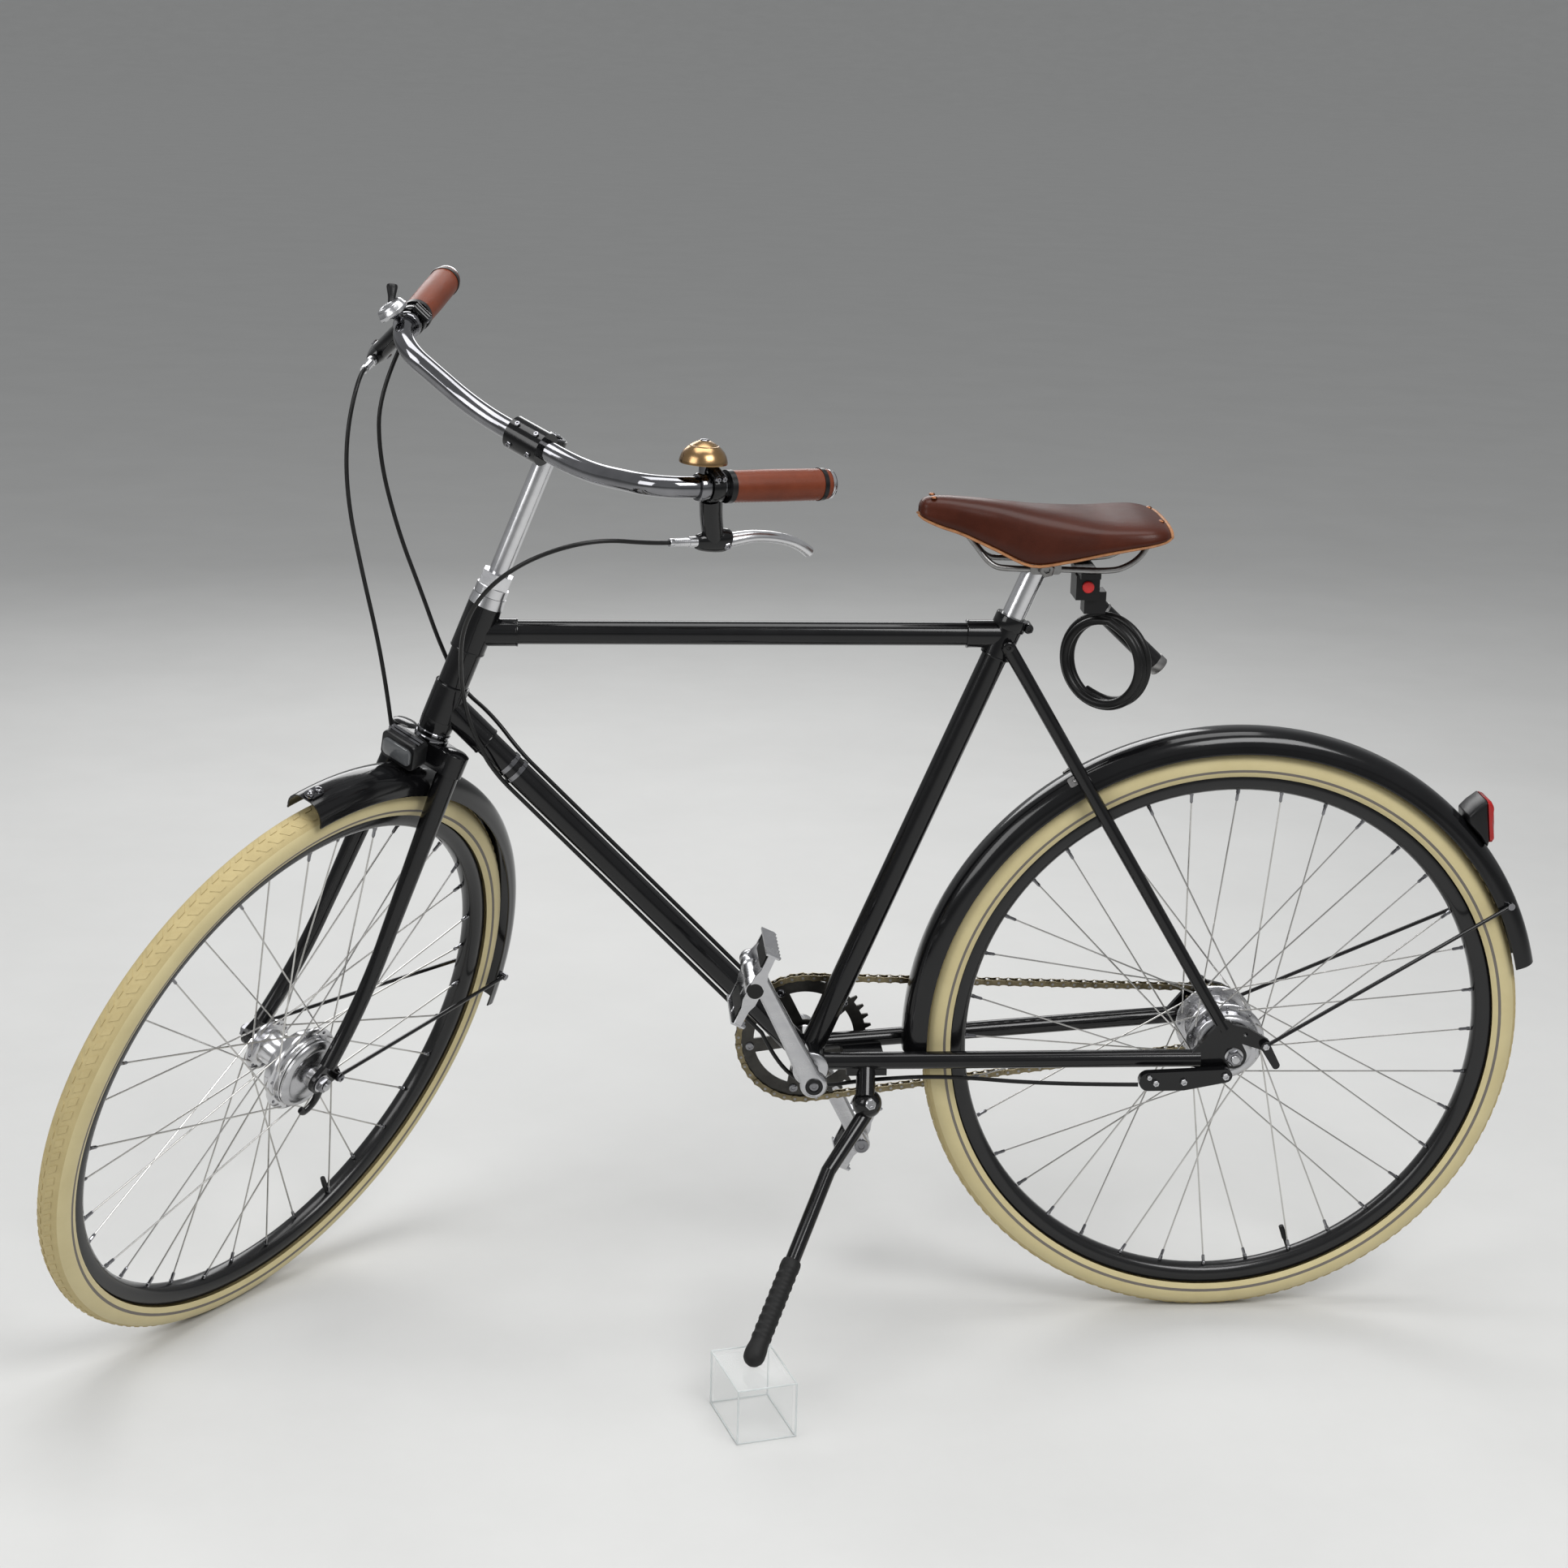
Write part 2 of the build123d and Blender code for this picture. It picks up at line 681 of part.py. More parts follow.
# centre, pitch radius, straight lead, angles where the plates begin and end
chain_wraps = (
    (chain_rear, sprocket_pitch_radius, plate_lead["rear"],
     line_tilt + leave_angle, line_tilt - leave_angle + 2 * pi),
    (chain_front, ring_pitch_radius, plate_lead["front"],
     line_tilt - leave_angle, line_tilt + leave_angle),
)
with BuildPart() as chain:
    for centre, pitch_radius, lead, start, stop in chain_wraps:
        for face in (plate_outer, -plate_inner):
            with BuildSketch(side_plane(centre, face)) as band:
                with BuildLine():
                    ends = []
                    for reach in (pitch_radius - plate_height / 2, pitch_radius + plate_height / 2):
                        arc_points = [(reach * cos(a), reach * sin(a)) for a in (start, (start + stop) / 2, stop)]
                        ThreePointArc(*arc_points)
                        ends.append((arc_points[0], arc_points[2]))
                    for end, angle, turn in ((0, start, 1), (1, stop, -1)):
                        off = (sin(angle) * turn * lead, -cos(angle) * turn * lead)
                        far = [(pair[end][0] + off[0], pair[end][1] + off[1]) for pair in ends]
                        Polyline(ends[0][end], far[0], far[1], ends[1][end])
                make_face()
            extrude(band.sketch, amount=plate_outer - plate_inner)
    for upper in left_right:
        rear_point = tangent_point(chain_rear, sprocket_pitch_radius, upper)
        run = tangent_point(chain_front, ring_pitch_radius, upper) - rear_point
        ahead = run.normalized()
        free_run = run.length - plate_lead["rear"] - plate_lead["front"] - 2 * seat_gap
        count = int(free_run / chain_pitch)
        pitch = free_run / count
        half, waist = pitch / 2 - link_gap, link_height / 2
        for link in range(count):
            middle = rear_point + ahead * (plate_lead["rear"] + seat_gap + pitch * (link + 0.5))
            width = link_widths[link % 2]
            with BuildSketch(Plane(origin=middle - side * width / 2, x_dir=ahead, z_dir=side)) as eye:
                Rectangle(2 * half, 2 * waist)
                chamfer(eye.vertices(), link_chamfer)
            extrude(eye.sketch, amount=width)

# Crank: drawn with the left arm pointing straight ahead
arm_boss = 16.5
arm_eye = 12.5
spindle_end = 6.0
with BuildPart() as crank_arms:
    spindle_reach = side * (arm_inner + spindle_end)
    rod(crank_centre - spindle_reach, crank_centre + spindle_reach, spindle_radius)
    for hand in left_right:
        outer = arm_inner + arm_thickness if hand > 0 else -arm_inner
        outline = link_hull(((0, 0, arm_boss), (hand * crank_length, 0, arm_eye)))
        extrude(side_plane(crank_centre, outer) * outline, amount=arm_thickness, dir=-side)
    # boss behind the right arm that carries the chainring
    boss_start = crank_centre - side * (chain_line - tooth_thickness / 2 - 1)
    rod(boss_start, crank_centre - side * arm_inner, ring_seat_radius)

pedal_start = arm_inner + arm_thickness
pedal_neck = 8.0
pedal_bar = 9.0


def pedal_cage(hand):
    """A pedal on the end of an arm that points straight ahead on the left, straight back on the right."""
    inner_end = crank_centre + Vector(hand * crank_length, hand * (pedal_start + running_gap), 0)
    cage_middle = inner_end + side * hand * (pedal_neck + pedal_width / 2)
    with BuildSketch(Plane(origin=cage_middle - up * cage_height / 2)) as cage:
        RectangleRounded(cage_length, pedal_width, cage_corner)
        Rectangle(cage_length - 2 * cage_wall, pedal_width - 2 * cage_wall, mode=Mode.SUBTRACT)
        Rectangle(cage_length - cage_wall, pedal_bar)
    extrude(cage.sketch, amount=cage_height)
    rod(inner_end, inner_end + side * hand * (pedal_width + pedal_neck), pedal_barrel_radius)


with BuildPart() as pedal_left:
    pedal_cage(1)
with BuildPart() as pedal_right:
    pedal_cage(-1)

# Mudguards
guard_half_profile = (
    # across, drop below the crown
    (6, 0),
    (17, 4),
    (guard_half_width, 13),
)
guard_profile = [(across, guard_radius - drop) for across, drop in guard_half_profile]
guard_profile += [(guard_half_width - guard_wall, guard_radius - guard_half_profile[-1][1] - guard_wall)]
guard_profile += [(across, guard_radius - drop - guard_wall) for across, drop in guard_half_profile[1::-1]]
guard_profile += [(-across, radius) for across, radius in reversed(guard_profile)]
rear_guard_angles = (-2.0, 166.0)
front_guard_angles = (88.0, 196.5)
rear_wire_angle = 153.0
front_wire_angle = 190.0
with BuildPart() as rear_mudguard:
    lathe(rear_axle, guard_profile, rear_guard_angles[0], rear_guard_angles[1] - rear_guard_angles[0])
with BuildPart() as front_mudguard:
    lathe(front_axle, guard_profile, front_guard_angles[0], front_guard_angles[1] - front_guard_angles[0])

wire_eye_radius = 5.5
wire_eye_gap = 1.6
wire_inset = 12.0


def guard_wire(centre, eyelet, face, angle_deg, hand):
    """A mudguard stay from its eye on a fork end to the mudguard's edge."""
    eye = centre + Vector(eyelet[0], 0, eyelet[1])
    wire_across = face + wire_eye_gap + guard_wire_radius
    edge = guard_half_width + guard_wire_radius + running_gap
    rod(eye + side * hand * (face + seat_gap), eye + side * hand * (wire_across + guard_wire_radius), wire_eye_radius)
    rod(eye + side * hand * wire_across,
        wheel_point(centre, guard_radius - wire_inset, angle_deg, hand * edge), guard_wire_radius)


fork_eyelet = (-24.0, -2.0)
with BuildPart() as rear_guard_stays:
    for hand in left_right:
        guard_wire(rear_axle, guard_eyelet, dropout_inner + dropout_thickness, rear_wire_angle, hand)
with BuildPart() as front_guard_stays:
    for hand in left_right:
        guard_wire(front_axle, fork_eyelet, blade_spread_bottom + fork_end_thickness / 2, front_wire_angle, hand)

tail_lamp_angle = 138.5
tail_lamp_size = (44.0, 40.0, 22.0)
tail_lens_size = (40.0, 18.0, 9.0)
tail_lamp_foot = wheel_point(rear_axle, guard_radius + running_gap, tail_lamp_angle, 0)
tail_lamp_out = (tail_lamp_foot - rear_axle).normalized()
tail_lamp_back = side.cross(tail_lamp_out) * -1
with BuildPart() as tail_lamp:
    with BuildSketch(Plane(origin=tail_lamp_foot, x_dir=side, z_dir=tail_lamp_out)) as shell:
        RectangleRounded(tail_lamp_size[0], tail_lamp_size[1], 6)
    extrude(shell.sketch, amount=tail_lamp_size[2])

with BuildPart() as tail_lens:
    lens_middle = tail_lamp_foot + tail_lamp_out * tail_lamp_size[2] / 2
    lens_foot = lens_middle + tail_lamp_back * (tail_lamp_size[1] / 2 + seat_gap)
    with BuildSketch(Plane(origin=lens_foot, x_dir=side, z_dir=tail_lamp_back)) as lens:
        RectangleRounded(tail_lens_size[0], tail_lens_size[1], 5)
    extrude(lens.sketch, amount=tail_lens_size[2])

# Fork
blade_top_rise = 10.0
blade_bend_rise = 165.0
blade_bend_spread = 46.0
fork_line = {}
for hand in left_right:
    fork_line[hand] = (
        on_steering(crown_base + blade_top_rise) + side * hand * blade_spread_top,
        on_steering(blade_bend_rise) + side * hand * blade_bend_spread,
        front_axle + side * hand * blade_spread_bottom,
    )


def blade_taper(hand, mode=Mode.ADD):
    """The straight upper part of a fork blade, or a cut for it."""
    rod(fork_line[hand][0], fork_line[hand][1], blade_radius_top, blade_radius_bottom, mode=mode)


crown_middle_radius = 19.0
crown_socket_radius = 15.5
race_radius = 18.0
steerer_stub = 20.0
with BuildPart() as fork_crown:
    with BuildSketch(Plane(origin=on_steering(crown_base), x_dir=side, z_dir=steer_up)) as crown:
        Circle(crown_middle_radius)
        for hand in left_right:
            with Locations((hand * blade_spread_top, 0)):
                Circle(crown_socket_radius)
        make_hull()
    extrude(crown.sketch, amount=crown_depth)
    rod(on_steering(crown_base + crown_depth), on_steering(head_bottom - cup_height - running_gap), race_radius)
    rod(on_steering(crown_base + crown_depth), on_steering(head_top + cup_height + steerer_stub), steerer_radius)
    for hand in left_right:
        blade_taper(hand, mode=Mode.SUBTRACT)

fork_end_circles = ((0, 0, 14), (*fork_eyelet, 7), (-14, 15, 8))
blade_share = 0.89
with BuildPart() as fork_blades:
    for hand in left_right:
        top, bend, tip = fork_line[hand]
        blade_taper(hand)
        with BuildLine() as whole_rake:
            TangentArc(bend, tip, tangent=bend - top)
        with BuildLine() as rake:
            TangentArc(bend, whole_rake.line @ blade_share, tangent=bend - top)
        with BuildSketch(Plane(origin=bend, z_dir=bend - top)) as section:
            Circle(blade_radius_bottom)
        sweep(section.sketch, path=rake.line)
        plate = side_plane(tip, fork_end_thickness / 2) * link_hull(fork_end_circles)
        extrude(plate, amount=fork_end_thickness, dir=-side)
        rod(tip - side * through / 4, tip + side * through / 4, axle_radius + running_gap / 2, mode=Mode.SUBTRACT)

# Handlebar and stem, measured from the middle of the bar clamp
clamp_ahead = 31.5
clamp_rise = 33.0
clamp_middle = on_steering(quill_top) + Vector(clamp_ahead, 0, clamp_rise)
bar_half = (
    # ahead, across, height
    (-160, 270, 26),
    (17, 184, 40),
    (0, 75, 0),
)
bar_bends = (50, 200, 200, 50)
bar_points = [clamp_middle + Vector(*point) for point in bar_half]
bar_points += [clamp_middle + Vector(ahead, -across, height) for ahead, across, height in reversed(bar_half)]
bar_end = {1: bar_points[0], -1: bar_points[-1]}
bar_run = {1: (bar_points[1] - bar_points[0]).normalized(), -1: (bar_points[-2] - bar_points[-1]).normalized()}
bar_fit = bar_radius + seat_gap / 2


def bar_bore(hand, mode=Mode.SUBTRACT):
    """A cut for the straight end of the handlebar."""
    rod(bar_end[hand] - bar_run[hand] * bar_cap_length, bar_end[hand] + bar_run[hand] * 2 * through, bar_fit, mode=mode)


with BuildPart() as handlebar:
    bent_rod(bar_points, bar_radius, bar_bends)
    for hand in left_right:
        rod(bar_end[hand] - bar_run[hand] * bar_cap_length, bar_end[hand], grip_radius - 1.5, grip_radius - 0.5)

with BuildPart() as grips:
    for hand in left_right:
        grip_start = bar_end[hand] + bar_run[hand] * seat_gap
        rod(grip_start, grip_start + bar_run[hand] * grip_length, grip_radius)
        bar_bore(hand)

locknut_height = 10.0
nut_height = 16.0
locknut_radius = 18.0
with BuildPart() as stem_quill:
    locknut_foot = head_top + cup_height + running_gap
    stub_top = head_top + cup_height + steerer_stub + running_gap
    rod(on_steering(stub_top), on_steering(quill_top), quill_radius)
    rod(on_steering(locknut_foot), on_steering(locknut_foot + locknut_height), locknut_radius)
    with BuildSketch(Plane(origin=on_steering(locknut_foot + locknut_height), x_dir=side, z_dir=steer_up)) as nut:
        RegularPolygon(locknut_radius + 0.5, 6)
    extrude(nut.sketch, amount=nut_height)
    rod(on_steering(head_top), on_steering(stub_top), steerer_radius + seat_gap / 2, mode=Mode.SUBTRACT)

stem_head_radius = 15.0
stem_head_height = 26.0
stem_neck_radius = 13.0
with BuildPart() as stem_clamp:
    rod(on_steering(quill_top + seat_gap), on_steering(quill_top + stem_head_height), stem_head_radius)
    rod(on_steering(quill_top + stem_head_height / 2), clamp_middle, stem_neck_radius)
    rod(clamp_middle - side * bar_clamp_width / 2, clamp_middle + side * bar_clamp_width / 2, bar_clamp_radius)
    rod(clamp_middle - side * bar_clamp_width, clamp_middle + side * bar_clamp_width, bar_fit, mode=Mode.SUBTRACT)

# Brake levers: each clamp's bracket is turned outwards from straight down by its own angle
lever_swing_deg = {1: 0.0, -1: 33.0}
lever_place = grip_length + 14
lever_clamp_radius = 16.0
lever_clamp_width = 14.0
lever_drop = 66.0
lever_set_back = 13.0
lever_block = (18.0, 20.0)
lever_block_radius = 11.0
adjuster_length = 32.0
adjuster_radius = 4.5
blade_radius = 5.0
blade_shape = (
    # back along the grip from the block, rise
    (0, 0),
    (28, 5),
    (72, -2),
    (100, -18),
)
lever_ring = {}
lever_down = {}
lever_middle = {}
for hand in left_right:
    outwards = up.cross(bar_run[hand]).normalized() * hand
    swing = radians(lever_swing_deg[hand])
    lever_ring[hand] = bar_end[hand] + bar_run[hand] * lever_place
    lever_down[hand] = outwards * sin(swing) - up * cos(swing)
    lever_middle[hand] = lever_ring[hand] - bar_run[hand] * lever_set_back + lever_down[hand] * lever_drop

with BuildPart() as lever_brackets:
    for hand in left_right:
        run = bar_run[hand]
        block = lever_middle[hand]
        half_clamp = run * lever_clamp_width / 2
        rod(lever_ring[hand] - half_clamp, lever_ring[hand] + half_clamp, lever_clamp_radius)
        rod(lever_ring[hand], block, lever_block_radius - 2)
        rod(block - run * lever_block[0], block + run * lever_block[1], lever_block_radius, lever_block_radius - 2)
        bar_bore(hand)

with BuildPart() as lever_blades:
    for hand in left_right:
        run = bar_run[hand]
        adjuster = lever_middle[hand] + run * (lever_block[1] + seat_gap)
        rod(adjuster, adjuster + run * adjuster_length, adjuster_radius)
        root = lever_middle[hand] - run * (lever_block[0] + 5 * seat_gap)
        bent_rod([root - run * back - lever_down[hand] * rise for back, rise in blade_shape], blade_radius, (60, 60))

bell_place = grip_length + 28
bell_clamp_radius = 14.5
bell_clamp_width = 12.0
bell_stem_radius = 4.0
bell_rise = 28.0
bell_radius = 26.0
bell_height = 24.0
with BuildPart() as bell:
    bell_foot = bar_end[1] + bar_run[1] * bell_place
    half_clamp = bar_run[1] * bell_clamp_width / 2
    with Locations(Location(bell_foot + up * (bell_rise + bell_height - bell_radius))):
        Sphere(bell_radius)
    rod(bell_foot + up * bell_rise, bell_foot - up * through, through, mode=Mode.SUBTRACT)
    rod(bell_foot - half_clamp, bell_foot + half_clamp, bell_clamp_radius)
    bar_bore(1)
    rod(bell_foot + up * (bell_clamp_radius - 2), bell_foot + up * (bell_rise + 2), bell_stem_radius)

shifter_place = grip_length + 29
shifter_radius = 15.0
shifter_width = 11.0
with BuildPart() as gear_shifter:
    run = bar_run[-1]
    dial_axis = (up.cross(run).normalized() * -1 + up).normalized()
    shifter_middle = bar_end[-1] + run * shifter_place
    rod(shifter_middle - run * shifter_width / 2, shifter_middle + run * shifter_width / 2, shifter_radius)
    dial_foot = shifter_middle + dial_axis * (shifter_radius + 4) + run * 8
    rod(shifter_middle, dial_foot, 5)
    rod(dial_foot, dial_foot + dial_axis * 12, 17, 14)
    lever_root = dial_foot + dial_axis * 6
    rod(lever_root, lever_root + dial_axis * 14 - run * 26 + up * 10, 3.5)
    bar_bore(-1)

# Front lamp on the fork crown
lamp_face = (48.0, 33.0, 6.0)
lamp_lens = (40.0, 20.0, 5.0)
lamp_depth = 24.0
lamp_lens_depth = 3.0
lamp_arm_radius = 7.0
lamp_arm_length = 8.0
lamp_rise = 27.0
with BuildPart() as front_lamp:
    lamp_root = on_steering(crown_base + crown_depth / 2)
    arm_start = lamp_root + steer_front * (crown_middle_radius + running_gap)
    arm_end = arm_start + steer_front * (lamp_arm_length + 2)
    rod(arm_start, arm_end, lamp_arm_radius)
    lamp_back = arm_start + Vector(lamp_arm_length, 0, lamp_rise - lamp_face[1] / 2)
    with BuildSketch(Plane(origin=lamp_back, x_dir=side, z_dir=(1, 0, 0))) as shell:
        RectangleRounded(*lamp_face)
    extrude(shell.sketch, amount=lamp_depth)
    with BuildSketch(Plane(origin=lamp_back + Vector(lamp_depth, 0, 0), x_dir=side, z_dir=(1, 0, 0))) as lens:
        RectangleRounded(*lamp_lens)
    extrude(lens.sketch, amount=lamp_lens_depth)

# Side stand: a ball split across the pivot line, its upper half on the frame and its lower half on the leg
stand_set_back = 65.0
stand_pivot_place = (50.0, -39.0)
stand_plate = (46.0, 76.0, 12.0)
stand_post_radius = 11.0
stand_pivot = crank_centre + Vector(-stand_set_back, *stand_pivot_place)
stay_share = stand_set_back / (chain_stay_line[1][0] - chain_stay_line[1][1]).length
stay_above = chain_stay_line[1][0] + (chain_stay_line[1][1] - chain_stay_line[1][0]) * stay_share
plate_top = stay_above.Z - chain_stay_radius
with BuildPart() as stand_bracket:
    with Locations(Location(stand_pivot)):
        Sphere(stand_knuckle_radius)
    rod(stand_pivot + stand_axis * running_gap, stand_pivot - stand_axis * through, through, mode=Mode.SUBTRACT)
    with Locations(Location((stand_pivot.X, 0, plate_top))):
        Box(*stand_plate)
    rod(stay_above - up * chain_stay_radius, stand_pivot + stand_axis * stand_knuckle_radius * 0.6, stand_post_radius)
    for hand in left_right:
        chain_stay(hand, chain_stay_radius + seat_gap / 2, mode=Mode.SUBTRACT)

knee_share = 0.28
knee_shift = Vector(8, -14, -6)
rubber_share = 0.5
riser_top = Vector(riser_place[0], riser_place[1], riser_height)
foot_centre = (parked.inverse() * Location(riser_top + up * (foot_radius + running_gap))).position
stand_knee = stand_pivot + (foot_centre - stand_pivot) * knee_share + knee_shift
foot_start = stand_knee + (foot_centre - stand_knee) * rubber_share
with BuildPart() as stand_leg:
    with Locations(Location(stand_pivot)):
        Sphere(stand_knuckle_radius)
    rod(stand_pivot, stand_pivot + stand_axis * through, through, mode=Mode.SUBTRACT)
    rod(stand_pivot - stand_axis * stand_knuckle_radius * 0.55, stand_knee, stand_leg_radius + 1, stand_leg_radius)
    with Locations(Location(stand_knee)):
        Sphere(stand_leg_radius)
    rod(stand_knee, foot_start, stand_leg_radius)

with BuildPart() as stand_foot:
    rod(foot_start, foot_centre, foot_radius - 1, foot_radius)
    with Locations(Location(foot_centre)):
        Sphere(foot_radius)

with BuildPart() as riser:
    with Locations(Location((riser_place[0], riser_place[1], 0), (0, 0, riser_turn_deg))):
        Box(riser_width, riser_depth, riser_height, align=seated)
        Box(riser_width - 2 * riser_wall, riser_depth - 2 * riser_wall, riser_height - riser_wall,
            align=seated, mode=Mode.SUBTRACT)

# Cables
cable_reach = down_radius + band_wall + cable_radius + running_gap
down_rise = Vector(-down_run.Z, 0, down_run.X)
# side of the down tube, across, distances below the head and above the crank where it starts and stops
frame_cables = ((1, -7.0, 120.0, 60.0), (-1, 7.0, 120.0, 60.0))
cable_top = {}
with BuildPart() as rear_cables:
    for face, across, below_head, above_crank in frame_cables:
        beside = down_rise * face * sqrt(cable_reach**2 - across**2) + side * across
        cable_top[face] = on_steering(down_joint) - down_run * below_head + beside
        rod(cable_top[face], crank_centre + down_run * above_crank + beside, cable_radius)

# from the bars, in the bars' straight position, then beside the frame
left_cable_bars = ((340, 158, 1044), (384, 122, 1024), (408, 90, 985), (412, 66, 935), (402, 52, 880))
left_cable_frame = ((324, 47, 764), (306, 32, 708))
gear_cable_bars = ((292, -190, 1035), (306, -168, 971), (311, -125, 900), (309, -82, 840), (308, -48, 790))
gear_cable_frame = ((330, -46, 757), (296, -24, 734))
front_cable = ((326, -200, 985), (344, -172, 925), (358, -128, 862), (368, -86, 800), (380, -52, 746))
cable_lead = 20.0
adjuster_end = lever_block[1] + seat_gap + adjuster_length + running_gap
with BuildPart() as bar_cables:
    left_start = [lever_middle[1] + bar_run[1] * (adjuster_end + lead) for lead in (0, cable_lead)]
    gear_start = shifter_middle + run * (shifter_width / 2 + 6) - up * shifter_radius
    for bars_route, frame_route, face in (
        ((*left_start, *left_cable_bars), left_cable_frame, -1),
        ((gear_start, *gear_cable_bars), gear_cable_frame, 1),
    ):
        frame_end = [cable_top[face] + down_run * lead for lead in (cable_lead, running_gap)]
        cable([(steered * Location(point)).position for point in bars_route] + [*frame_route, *frame_end])

with BuildPart() as front_brake_cable:
    front_start = [lever_middle[-1] + bar_run[-1] * (adjuster_end + lead) for lead in (0, cable_lead)]
    crown_socket = on_steering(crown_base + crown_depth / 2) - side * blade_spread_top
    front_end = crown_socket + steer_front * (crown_socket_radius + cable_radius + running_gap)
    cable((*front_start, *front_cable, front_end))

# Write the pieces, each moved to its parked place
crank_turn = turned(crank_centre, side, -crank_raised_deg)
pedal_turns = {}
for hand in left_right:
    pedal_line = crank_centre + Vector(hand * crank_length, 0, 0)
    pedal_turns[hand] = crank_turn * turned(pedal_line, side, crank_raised_deg - pedal_tilt_deg)

pieces = (
    # name, part, move
    ("head_tube", head_tube, parked),
    ("top_tube", top_tube, parked),
    ("down_tube", down_tube, parked),
    ("seat_tube", seat_tube, parked),
    ("bracket_shell", bracket_shell, parked),
    ("chain_stays", chain_stays, parked),
    ("seat_stays", seat_stays, parked),
    ("dropouts", dropouts, parked),
    ("lugs", lugs, parked),
    ("headset_cups", headset_cups, parked),
    ("tube_bands", tube_bands, parked),
    ("seat_post", seat_post, parked),
    ("saddle_leather", saddle_leather, parked),
    ("saddle_rails", saddle_rails, parked),
    ("lock_bracket", lock_bracket, parked),
    ("lock_coil", lock_coil, parked),
    ("lock_barrel", lock_barrel, parked),
    ("rear_axle", rear_axle_rod, parked),
    ("rear_brake_arm", rear_brake_arm, parked),
    ("rear_mudguard", rear_mudguard, parked),
    ("rear_guard_stays", rear_guard_stays, parked),
    ("tail_lamp", tail_lamp, parked),
    ("tail_lens", tail_lens, parked),
    ("chain", chain, parked),
    ("rear_cables", rear_cables, parked),
    ("bar_cables", bar_cables, parked),
    ("stand_bracket", stand_bracket, parked),
    ("riser", riser, on_floor),
    ("rear_tyre", rear_tyre, parked),
    ("rear_rim", rear_rim, parked),
    ("rear_spokes", rear_spokes, parked),
    ("rear_hub", rear_hub, parked),
    ("sprocket", sprocket, parked),
    ("crank_arms", crank_arms, parked * crank_turn),
    ("chainring", chainring, parked * crank_turn),
    ("pedal_left", pedal_left, parked * pedal_turns[1]),
    ("pedal_right", pedal_right, parked * pedal_turns[-1]),
    ("stand_leg", stand_leg, parked),
    ("stand_foot", stand_foot, parked),
    ("fork_crown", fork_crown, parked_steered),
    ("fork_blades", fork_blades, parked_steered),
    ("front_axle", front_axle_rod, parked_steered),
    ("stem_quill", stem_quill, parked_steered),
    ("stem_clamp", stem_clamp, parked_steered),
    ("handlebar", handlebar, parked_steered),
    ("grips", grips, parked_steered),
    ("lever_brackets", lever_brackets, parked_steered),
    ("lever_blades", lever_blades, parked_steered),
    ("bell", bell, parked_steered),
    ("gear_shifter", gear_shifter, parked_steered),
    ("front_lamp", front_lamp, parked_steered),
    ("front_mudguard", front_mudguard, parked_steered),
    ("front_guard_stays", front_guard_stays, parked_steered),
    ("front_brake_cable", front_brake_cable, parked_steered),
    ("front_tyre", front_tyre, parked_steered),
    ("front_rim", front_rim, parked_steered),
    ("front_spokes", front_spokes, parked_steered),
    ("front_hub", front_hub, parked_steered),
)
for name, piece, move in pieces:
    placed = move * piece.part
    placed.label = name
    export_step(placed, f"parts/{name}.step")


def line_after(origin, direction, move):
    """A turning line in the parked frame, as a point and a direction."""
    placed = Plane(move * Plane(origin=origin, z_dir=direction).location)
    return [round(value, 4) for value in placed.origin], [round(value, 6) for value in placed.z_dir]


eyelet_face = dropout_inner + dropout_thickness
turning_lines = (
    ("steering", steer_foot, steer_up, parked),
    ("front_wheel", front_axle, side, parked_steered),
    ("rear_wheel", rear_axle, side, parked),
    ("sprocket", rear_axle - side * chain_line, side, parked),
    ("crank", crank_centre, side, parked),
    ("pedal_left", crank_centre + Vector(crank_length, pedal_start, 0), side, parked * crank_turn),
    ("pedal_right", crank_centre - Vector(crank_length, pedal_start, 0), side, parked * crank_turn),
    ("stand", stand_pivot, stand_axis, parked),
    ("eyelet_left", rear_axle + Vector(rack_eyelet[0], eyelet_face, rack_eyelet[1]), side, parked),
    ("eyelet_right", rear_axle + Vector(rack_eyelet[0], -eyelet_face, rack_eyelet[1]), -side, parked),
)
for name, origin, direction, move in turning_lines:
    print(name, *line_after(origin, direction, move))
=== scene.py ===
from math import acos, atan2, cos, pi, radians, sin, sqrt

import bmesh
import bpy
from mathutils import Matrix, Vector


